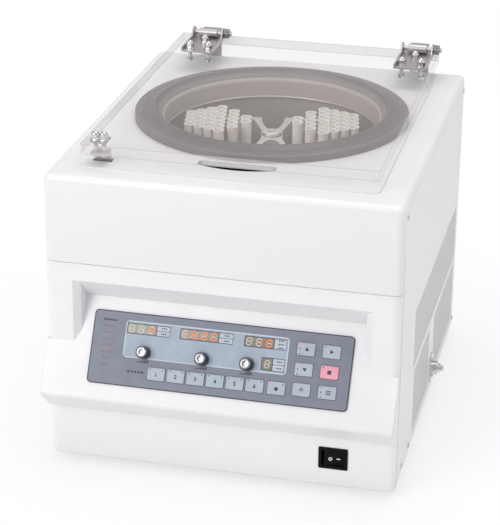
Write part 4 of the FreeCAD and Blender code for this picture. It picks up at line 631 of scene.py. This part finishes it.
def panel_prints():
    """The coloured prints of the panel's face, in thin layers."""
    navy = moulded_plastic("print_dark", (0.045, 0.045, 0.065), 0.5)
    pale = moulded_plastic("print_pale", (0.560, 0.620, 0.700), 0.45)
    light = moulded_plastic("print_light_blue", (0.350, 0.415, 0.505), 0.42, 0.35, 0.015)
    label = moulded_plastic("print_label", (0.480, 0.535, 0.610), 0.45)
    faint = moulded_plastic("digit_faint", (0.560, 0.545, 0.460), 0.3)
    glow = glowing("digit_lit", (1.0, 0.22, 0.12))

    layer = PANEL_FACE
    half = PANEL_WIDTH / 2
    edge = bmesh.new()
    outer = rounded_rectangle(-half, PANEL_LOW, half, PANEL_HIGH, PANEL_CORNER)
    inner = rounded_rectangle(-half + BORDER, PANEL_LOW + BORDER, half - BORDER, PANEL_HIGH - BORDER, PANEL_CORNER - BORDER)
    add_ring(edge, outer, inner, layer, layer + PRINT, on_panel)
    make_piece("panel_border", edge, navy, "casing")

    blocks = window_blocks(DISPLAYS)
    low_a, low_b, high_a, high_b = INSET
    rim = bmesh.new()
    outer = rounded_rectangle(low_a, low_b, high_a, high_b, INSET_CORNER)
    inner = rounded_rectangle(low_a + INSET_BORDER, low_b + INSET_BORDER, high_a - INSET_BORDER, high_b - INSET_BORDER,
                              INSET_CORNER - INSET_BORDER)
    add_ring(rim, outer, inner, layer, layer + PRINT, on_panel)
    make_piece("inset_border", rim, pale, "casing")

    field = bmesh.new()
    add_field_around(field, (low_a + INSET_BORDER, low_b + INSET_BORDER, high_a - INSET_BORDER, high_b - INSET_BORDER),
                     blocks, layer, layer + PRINT)
    make_piece("inset_field", field, light, "casing")

    frames = bmesh.new()
    labels = []
    for low_x, low_y, split, high_x, high_y, rows in blocks:
        whole = (low_x, low_y, high_x, high_y)
        window = (low_x + DISPLAY_FRAME, low_y + DISPLAY_FRAME, split - DISPLAY_FRAME / 2, high_y - DISPLAY_FRAME)
        block = (split + DISPLAY_FRAME / 2, low_y + DISPLAY_FRAME / 2, high_x - DISPLAY_FRAME / 2, high_y - DISPLAY_FRAME / 2)
        add_ring(frames, rounded_rectangle(*whole, 1.4), rounded_rectangle(*window, 0.4), layer, layer + PRINT, on_panel)
        step = (block[3] - block[1]) / rows if rows == 2 else block[3] - block[1]
        count = rows if rows == 2 else 1
        for i in range(count):
            bottom = block[1] + i * step
            labels.append(rounded_rectangle(block[0], bottom + 0.25, block[2], bottom + step - 0.25, 0.9))
    make_piece("window_frames", frames, navy, "casing")
    flat_piece("window_labels", labels, layer, layer + 2 * PRINT, on_panel, label, "casing")

    dim, lit = [], []
    for display in DISPLAYS:
        add_numerals(display, dim, lit)
    program = segment_bars(PROGRAM["left"] + 3.6, PROGRAM["low"] + 2.6, 6.6, 9.8, 1.55)
    dim.extend(program.values())
    flat_piece("digit_bars", dim, layer, layer + PRINT, on_panel, faint, "casing")
    flat_piece("digit_bars_lit", lit, layer, layer + PRINT, on_panel, glow, "casing")
    return navy


def add_field_around(mesh, field, blocks, bottom, top):
    """Fills a field with one flat sheet, leaving out the blocks that stand in it."""
    a_cuts = sorted({field[0], field[2], *(v for block in blocks for v in (block[0], block[3]))})
    b_cuts = sorted({field[1], field[3], *(v for block in blocks for v in (block[1], block[4]))})
    for low_a, high_a in zip(a_cuts, a_cuts[1:]):
        for low_b, high_b in zip(b_cuts, b_cuts[1:]):
            mid_a = (low_a + high_a) / 2
            mid_b = (low_b + high_b) / 2
            in_block = any(b[0] < mid_a < b[3] and b[1] < mid_b < b[4] for b in blocks)
            in_field = field[0] < mid_a < field[2] and field[1] < mid_b < field[3]
            if in_field and not in_block:
                corners = ((low_a, low_b), (high_a, low_b), (high_a, high_b), (low_a, high_b))
                mesh.faces.new([mesh.verts.new(on_panel(a, b, bottom)) for a, b in corners])
    bmesh.ops.remove_doubles(mesh, verts=mesh.verts, dist=0.00001)
    rise = on_panel(0, 0, top) - on_panel(0, 0, bottom)
    for element in bmesh.ops.extrude_face_region(mesh, geom=mesh.faces[:])["geom"]:
        if isinstance(element, bmesh.types.BMVert):
            element.co += rise


def lamp_column(navy):
    """The column of indicator lamps at the panel's left: a heading bar and seven dark lamps."""
    lamp = moulded_plastic("lamp_dull_red", (0.225, 0.120, 0.150), 0.3)
    layer = PANEL_FACE
    for i, width in enumerate(LAMP_WIDTHS):
        b = LAMP_FIRST - i * LAMP_PITCH
        bars = []
        count = max(4, round(width / 2.6))
        step = width / count
        for j in range(count):
            low = LAMP_COLUMN - width / 2 + j * step
            bars.append(rounded_rectangle(low + 0.2, b - 1.1, low + step - 0.35, b + 1.1, 0.35, 3))
        material = navy if i == 0 else lamp
        flat_piece(f"lamp_row_{i + 1}", bars, layer, layer + PRINT, on_panel, material, "casing")


def label_marks(navy):
    """Short generic marks beside the windows, below the knobs and left of the numbered keys."""
    layer = PANEL_FACE
    marks = []
    for low_x, low_y, split, high_x, high_y, rows in window_blocks(DISPLAYS):
        step = (high_y - low_y) / rows
        for i in range(rows):
            b = low_y + (i + 0.5) * step
            middle = (split + high_x) / 2 + 1.0
            for j in range(3):
                marks.append(rounded_rectangle(middle - 3.3 + 2.3 * j, b - 0.7, middle - 1.6 + 2.3 * j, b + 0.7, 0.3, 3))
    flat_piece("window_marks", marks, layer + 2 * PRINT, layer + 3 * PRINT, on_panel, navy, "casing")
    ramps = []
    for across in KNOBS.values():
        for j in range(7):
            a = across - 7.0 + 2.1 * j
            ramps.append([(a, 50.4), (a + 1.5, 50.4), (a + 1.5, 51.6 + 0.35 * j), (a, 51.3 + 0.35 * j)])
    for j in range(5):
        a = -108.0 + 4.2 * j
        ramps.append(rounded_rectangle(a, 37.8, a + 2.8, 40.2, 0.4, 3))
    flat_piece("scale_marks", ramps, layer, layer + PRINT, on_panel, navy, "casing")


def key_places():
    places = {f"key_{i + 1}": (NUMBER_KEY_FIRST + i * NUMBER_KEY_PITCH, NUMBER_KEY_RISE) for i in range(6)}
    places["key_memory"] = (MEMORY_KEY_ACROSS, NUMBER_KEY_RISE)
    for name, rise in zip(("key_special", "key_decelerate", "key_accelerate"), COMMAND_KEY_RISES):
        places[name] = (COMMAND_KEY_LEFT, rise)
    for name, rise in zip(("key_mode", "key_stop", "key_start"), COMMAND_KEY_RISES):
        places[name] = (COMMAND_KEY_RIGHT, rise)
    return places


def key_lamps(name, a, b):
    """Where a key's small lamps are, and whether each is lit."""
    if name[-1].isdigit():
        return [(a - 7.4, b + 5.2, False), (a + 7.2, b + 5.2, False)]
    if name == "key_memory":
        return [(a - 7.2, b + 4.9, True), (a + 7.4, b + 4.9, False)]
    if name in ("key_start", "key_stop"):
        return [(a - 7.6, b + 5.4, False)]
    if name == "key_special":
        return []
    first_lit = name != "key_mode"
    return [(a - 7.1, b + 5.7 - 5.8 * i, first_lit and i == 0) for i in range(3)]


def key_symbol(name, a, b):
    """A plain symbol for each command key."""
    arrow = [(a - 2.6, b - 2.0), (a + 2.6, b - 2.0), (a, b + 2.4)]
    if name == "key_start":
        return [[(a - 1.8, b - 2.6), (a + 2.6, b), (a - 1.8, b + 2.6)]]
    if name == "key_stop":
        return [rounded_rectangle(a - 2.3, b - 2.3, a + 2.3, b + 2.3, 0.4, 3)]
    if name == "key_accelerate":
        return [[(x + 1.2, y + 0.2) for x, y in arrow]]
    if name == "key_decelerate":
        return [[(x + 1.2, 2 * b - y - 0.2) for x, y in reversed(arrow)]]
    if name == "key_special":
        return [rounded_rectangle(a - 3.0, b - 0.5, a + 3.0, b + 0.5, 0.3, 3),
                rounded_rectangle(a - 0.5, b + 0.8, a + 0.5, b + 3.0, 0.3, 3),
                rounded_rectangle(a - 0.5, b - 3.0, a + 0.5, b - 0.8, 0.3, 3)]
    if name == "key_mode":
        return [rounded_rectangle(a - 1.6, b + s - 0.45, a + 4.4, b + s + 0.45, 0.3, 3) for s in (-1.9, 0.0, 1.9)]
    return [circle(a, b - 0.8, 2.3)]


def numeral_piece(name, text, a, b, size, material, body):
    """A printed number on a key's face."""
    curve = bpy.data.curves.new(name + "_outline", "FONT")
    curve.body = text
    curve.size = size
    curve.align_x = "CENTER"
    curve.align_y = "CENTER"
    curve.offset = 0.12
    holder = bpy.data.objects.new(name + "_holder", curve)
    bpy.context.scene.collection.objects.link(holder)
    bpy.context.view_layer.update()
    data = bpy.data.meshes.new_from_object(holder.evaluated_get(bpy.context.evaluated_depsgraph_get()))
    bpy.data.objects.remove(holder)
    mesh = bmesh.new()
    mesh.from_mesh(data)
    bpy.data.meshes.remove(data)
    bmesh.ops.remove_doubles(mesh, verts=mesh.verts, dist=0.001)
    raised = bmesh.ops.extrude_face_region(mesh, geom=mesh.faces[:])["geom"]
    top = {element for element in raised if isinstance(element, bmesh.types.BMVert)}
    for vertex in mesh.verts:
        height = KEY_FACE + (PRINT if vertex in top else 0.0)
        vertex.co = on_panel(a + vertex.co.x, b + vertex.co.y, height)
    return make_piece(name, mesh, material, body, smooth=False)


def key_faces(navy):
    """Numbers, symbols and lamps on the keys, with a painted glow round each lit lamp; each rides on its own key."""
    halo = moulded_plastic("lamp_halo", (0.560, 0.620, 0.700), 0.4)
    # painted light: a pink ring round each lit lamp stands in for its glow on the key
    painted_glow_halo = moulded_plastic("lamp_painted_glow", (0.780, 0.480, 0.600), 0.4)
    lit = glowing("lamp_lit", (0.75, 0.13, 0.26))
    ink = moulded_plastic("key_ink", (0.035, 0.040, 0.060), 0.5)
    for name, (a, b) in key_places().items():
        lamps = key_lamps(name, a, b)
        for state in (False, True):
            chosen = [(x, y) for x, y, shines in lamps if shines == state]
            if not chosen:
                continue
            word = "lit" if state else "dark"
            halos = [circle(x, y, LED_HALO) for x, y in chosen]
            dots = [circle(x, y, LED_RADIUS, 16) for x, y in chosen]
            flat_piece(f"{name}_halo_{word}", halos, KEY_FACE, KEY_FACE + PRINT, on_panel,
                       painted_glow_halo if state else halo, name)
            flat_piece(f"{name}_lamp_{word}", dots, KEY_FACE, KEY_FACE + 3 * PRINT, on_panel,
                       lit if state else navy, name)
        if name[-1].isdigit():
            numeral_piece(f"{name}_number", name[-1], a, b - 0.9, 6.4, ink, name)
        else:
            flat_piece(f"{name}_symbol", key_symbol(name, a, b), KEY_FACE, KEY_FACE + PRINT, on_panel, ink, name)


def knob_caps(navy):
    """A domed bright cap with a pointer line on each control knob."""
    cap = brushed_metal("knob_cap", (0.52, 0.52, 0.54), 0.24, (1.0, 1.0, 1.0), 0.8)
    out = (on_panel(0, 0, 1) - on_panel(0, 0, 0)).normalized()
    for name, across in KNOBS.items():
        mesh = bmesh.new()
        radius = KNOB_CAP_RADIUS
        profile = [(radius, -1.2), (radius, 0.1), (radius - 0.5, 0.7), (radius - 1.3, 0.95)]
        profile += [(radius * 0.6, 0.7), (radius * 0.3, 0.35), (0.02, 0.25)]
        add_turned(mesh, profile, on_panel(across, KNOB_RISE, KNOB_TOP), out)
        make_piece(f"{name}_cap", mesh, cap, name)
        pointer = rounded_rectangle(across - 0.45, KNOB_RISE + 1.5, across + 0.45, KNOB_RISE + radius - 0.9, 0.4, 4)
        flat_piece(f"{name}_pointer", [pointer], KNOB_TOP + 0.3, KNOB_TOP + 0.7, on_panel, navy, name)


def rocker_marks():
    """The ring and the bar on the rocker's two halves."""
    white = moulded_plastic("mark_white", (0.85, 0.85, 0.85), 0.4)
    mesh = bmesh.new()
    add_ring(mesh, circle(-4.6, -1.6, 2.3), circle(-4.6, -1.6, 1.2), 0.0, PRINT, on_rocker)
    add_prism(mesh, rounded_rectangle(2.6, -2.2, 7.2, -0.9, 0.3, 3), 0.0, PRINT, on_rocker)
    make_piece("rocker_marks", mesh, white, "rocker")


# Casing details

def vent_filters():
    """Pleated filter mats behind the side panels' slots."""
    mat = moulded_plastic("filter_mat", (0.42, 0.405, 0.41), 0.9, 1.2, 0.3)
    for side, side_name in ((-1, "left"), (1, "right")):
        for index, (y_low, y_high, z_low, z_high) in enumerate(VENT_FIELDS):
            mesh = bmesh.new()
            count = round((y_high - y_low) / FILTER_PLEAT)
            rows = []
            for i in range(count + 1):
                y = y_low - 2 + (y_high - y_low + 4) * i / count
                fold = FILTER_DEPTH + (1.6 if i % 2 else 0.0)
                low = mesh.verts.new(at(side * (HALF_WIDTH - fold), y, z_low - 2))
                high = mesh.verts.new(at(side * (HALF_WIDTH - fold), y, z_high + 2))
                rows.append((low, high))
            for (low_a, high_a), (low_b, high_b) in zip(rows, rows[1:]):
                mesh.faces.new((low_a, low_b, high_b, high_a))
            piece = make_piece(f"vent_filter_{side_name}_{index + 1}", mesh, mat, "casing", smooth=False)
            thickness = piece.modifiers.new("thickness", "SOLIDIFY")
            thickness.thickness = 0.4 * MM


def skirt_trim():
    """The bright bead at the foot of the gasket's skirt, which shows on the chamber's far wall."""
    steel = brushed_metal("trim_steel", (0.62, 0.55, 0.51), 0.4, (1.0, 1.0, 1.0), 1.5)
    mesh = bmesh.new()
    bead = 1.6
    profile = []
    for i in range(13):
        angle = 2 * math.pi * i / 12
        profile.append((SKIRT_RADIUS + bead * math.cos(angle), bead * math.sin(angle)))
    add_turned(mesh, profile, at(0.0, CHAMBER_Y, SKIRT_BOTTOM), Vector((0, 0, 1)), 128)
    bmesh.ops.remove_doubles(mesh, verts=mesh.verts, dist=0.00001)
    make_piece("skirt_bead", mesh, steel, "casing")


def side_seams():
    """The dark joint between the front's wrap and each side panel."""
    shadow = moulded_plastic("seam_shadow", (0.16, 0.155, 0.16), 0.6)
    for side, side_name in ((-1, "left"), (1, "right")):
        joint = rounded_rectangle(SIDE_SEAM_Y - SIDE_SEAM_WIDTH / 2, SIDE_SEAM_LOW, SIDE_SEAM_Y + SIDE_SEAM_WIDTH / 2,
                                  SIDE_SEAM_HIGH, SIDE_SEAM_WIDTH / 3)
        flat_piece(f"side_seam_{side_name}", [joint], -PRINT, PRINT,
                   lambda y, z, out: at(side * (HALF_WIDTH + out), y, z), shadow, "casing")


# Stage, lights and camera

def stage_floor():
    """A pale floor that takes the object's shadow and fades to the white background."""
    material = bpy.data.materials.new("floor")
    material.use_nodes = True
    nodes = material.node_tree.nodes
    output = next(node for node in nodes if node.type == "OUTPUT_MATERIAL")
    shader = shader_of(material)
    shader.inputs["Base Color"].default_value = (0.93, 0.93, 0.93, 1.0)
    shader.inputs["Roughness"].default_value = 0.9
    white = add_node(material, "ShaderNodeEmission")
    white.inputs["Strength"].default_value = 1.0
    coordinates = add_node(material, "ShaderNodeTexCoord")
    length = add_node(material, "ShaderNodeVectorMath", operation="LENGTH")
    link(material, coordinates.outputs["Object"], length.inputs[0])
    fade = spread(material, length.outputs["Value"], 0.70, 1.0, (0.30, 0.62))
    path = add_node(material, "ShaderNodeLightPath")
    seen = add_node(material, "ShaderNodeMath", operation="MAXIMUM")
    link(material, path.outputs["Is Camera Ray"], seen.inputs[0])
    link(material, path.outputs["Is Glossy Ray"], seen.inputs[1])
    seen_through = add_node(material, "ShaderNodeMath", operation="MAXIMUM")
    link(material, seen.outputs["Value"], seen_through.inputs[0])
    link(material, path.outputs["Is Transmission Ray"], seen_through.inputs[1])
    share = add_node(material, "ShaderNodeMath", operation="MULTIPLY")
    link(material, fade, share.inputs[0])
    link(material, seen_through.outputs["Value"], share.inputs[1])
    mix = add_node(material, "ShaderNodeMixShader")
    link(material, share.outputs["Value"], mix.inputs["Fac"])
    link(material, shader.outputs["BSDF"], mix.inputs[1])
    link(material, white.outputs["Emission"], mix.inputs[2])
    link(material, mix.outputs["Shader"], output.inputs["Surface"])
    mesh = bmesh.new()
    bmesh.ops.create_grid(mesh, x_segments=8, y_segments=8, size=6.0)
    data = bpy.data.meshes.new("floor")
    mesh.to_mesh(data)
    mesh.free()
    data.materials.append(material)
    floor = bpy.data.objects.new("floor", data)
    bpy.context.scene.collection.objects.link(floor)


def world_light():
    """Soft even light from all round; the background itself shows white."""
    world = bpy.data.worlds.new("studio")
    bpy.context.scene.world = world
    world.use_nodes = True
    nodes = world.node_tree.nodes
    links = world.node_tree.links
    background = next(node for node in nodes if node.type == "BACKGROUND")
    output = next(node for node in nodes if node.type == "OUTPUT_WORLD")
    background.inputs["Color"].default_value = (1.0, 1.0, 1.0, 1.0)
    background.inputs["Strength"].default_value = 0.59
    white = nodes.new("ShaderNodeBackground")
    white.inputs["Strength"].default_value = 1.0
    path = nodes.new("ShaderNodeLightPath")
    seen = nodes.new("ShaderNodeMath")
    seen.operation = "MAXIMUM"
    links.new(path.outputs["Is Camera Ray"], seen.inputs[0])
    links.new(path.outputs["Is Transmission Ray"], seen.inputs[1])
    mix = nodes.new("ShaderNodeMixShader")
    links.new(seen.outputs["Value"], mix.inputs["Fac"])
    links.new(background.outputs["Background"], mix.inputs[1])
    links.new(white.outputs["Background"], mix.inputs[2])
    links.new(mix.outputs["Shader"], output.inputs["Surface"])


def area_light(name, place, size, power):
    """A soft box that looks at the object's middle."""
    light = bpy.data.lights.new(name, "AREA")
    light.shape = "SQUARE"
    light.size = size
    light.energy = power
    lamp = bpy.data.objects.new(name, light)
    bpy.context.scene.collection.objects.link(lamp)
    lamp.location = place
    lamp.rotation_euler = (Vector((0.0, 0.0, 0.2)) - lamp.location).to_track_quat("-Z", "Y").to_euler()


def lights():
    area_light("key_light", Vector((-1.6, -2.6, 1.9)), 1.8, 48.0)
    area_light("top_light", Vector((0.2, 0.4, 2.6)), 1.6, 21.0)
    area_light("side_light", Vector((2.8, -0.6, 1.2)), 1.6, 11.0)


def camera():
    forward = Vector((math.sin(CAMERA_YAW) * math.cos(CAMERA_PITCH), math.cos(CAMERA_YAW) * math.cos(CAMERA_PITCH),
                      -math.sin(CAMERA_PITCH)))
    level = Vector((math.cos(CAMERA_YAW), -math.sin(CAMERA_YAW), 0.0))
    upright = level.cross(forward)
    right = math.cos(CAMERA_ROLL) * level + math.sin(CAMERA_ROLL) * upright
    up = -math.sin(CAMERA_ROLL) * level + math.cos(CAMERA_ROLL) * upright
    data = bpy.data.cameras.new("camera")
    data.sensor_width = SENSOR
    data.lens = SENSOR * FOCAL_PIXELS / IMAGE_HEIGHT
    data.clip_end = 20.0
    viewer = bpy.data.objects.new("camera", data)
    bpy.context.scene.collection.objects.link(viewer)
    turn = Matrix((right, up, -forward)).transposed()
    viewer.matrix_world = Matrix.Translation(at(*CAMERA_PLACE)) @ turn.to_4x4()
    bpy.context.scene.camera = viewer


def main():
    camera()
    materials = build_materials()
    dress_frame(materials)
    navy = panel_prints()
    lamp_column(navy)
    label_marks(navy)
    key_faces(navy)
    knob_caps(navy)
    rocker_marks()
    vent_filters()
    skirt_trim()
    side_seams()
    stage_floor()
    world_light()
    lights()
    bpy.context.scene.view_settings.view_transform = "Standard"


main()
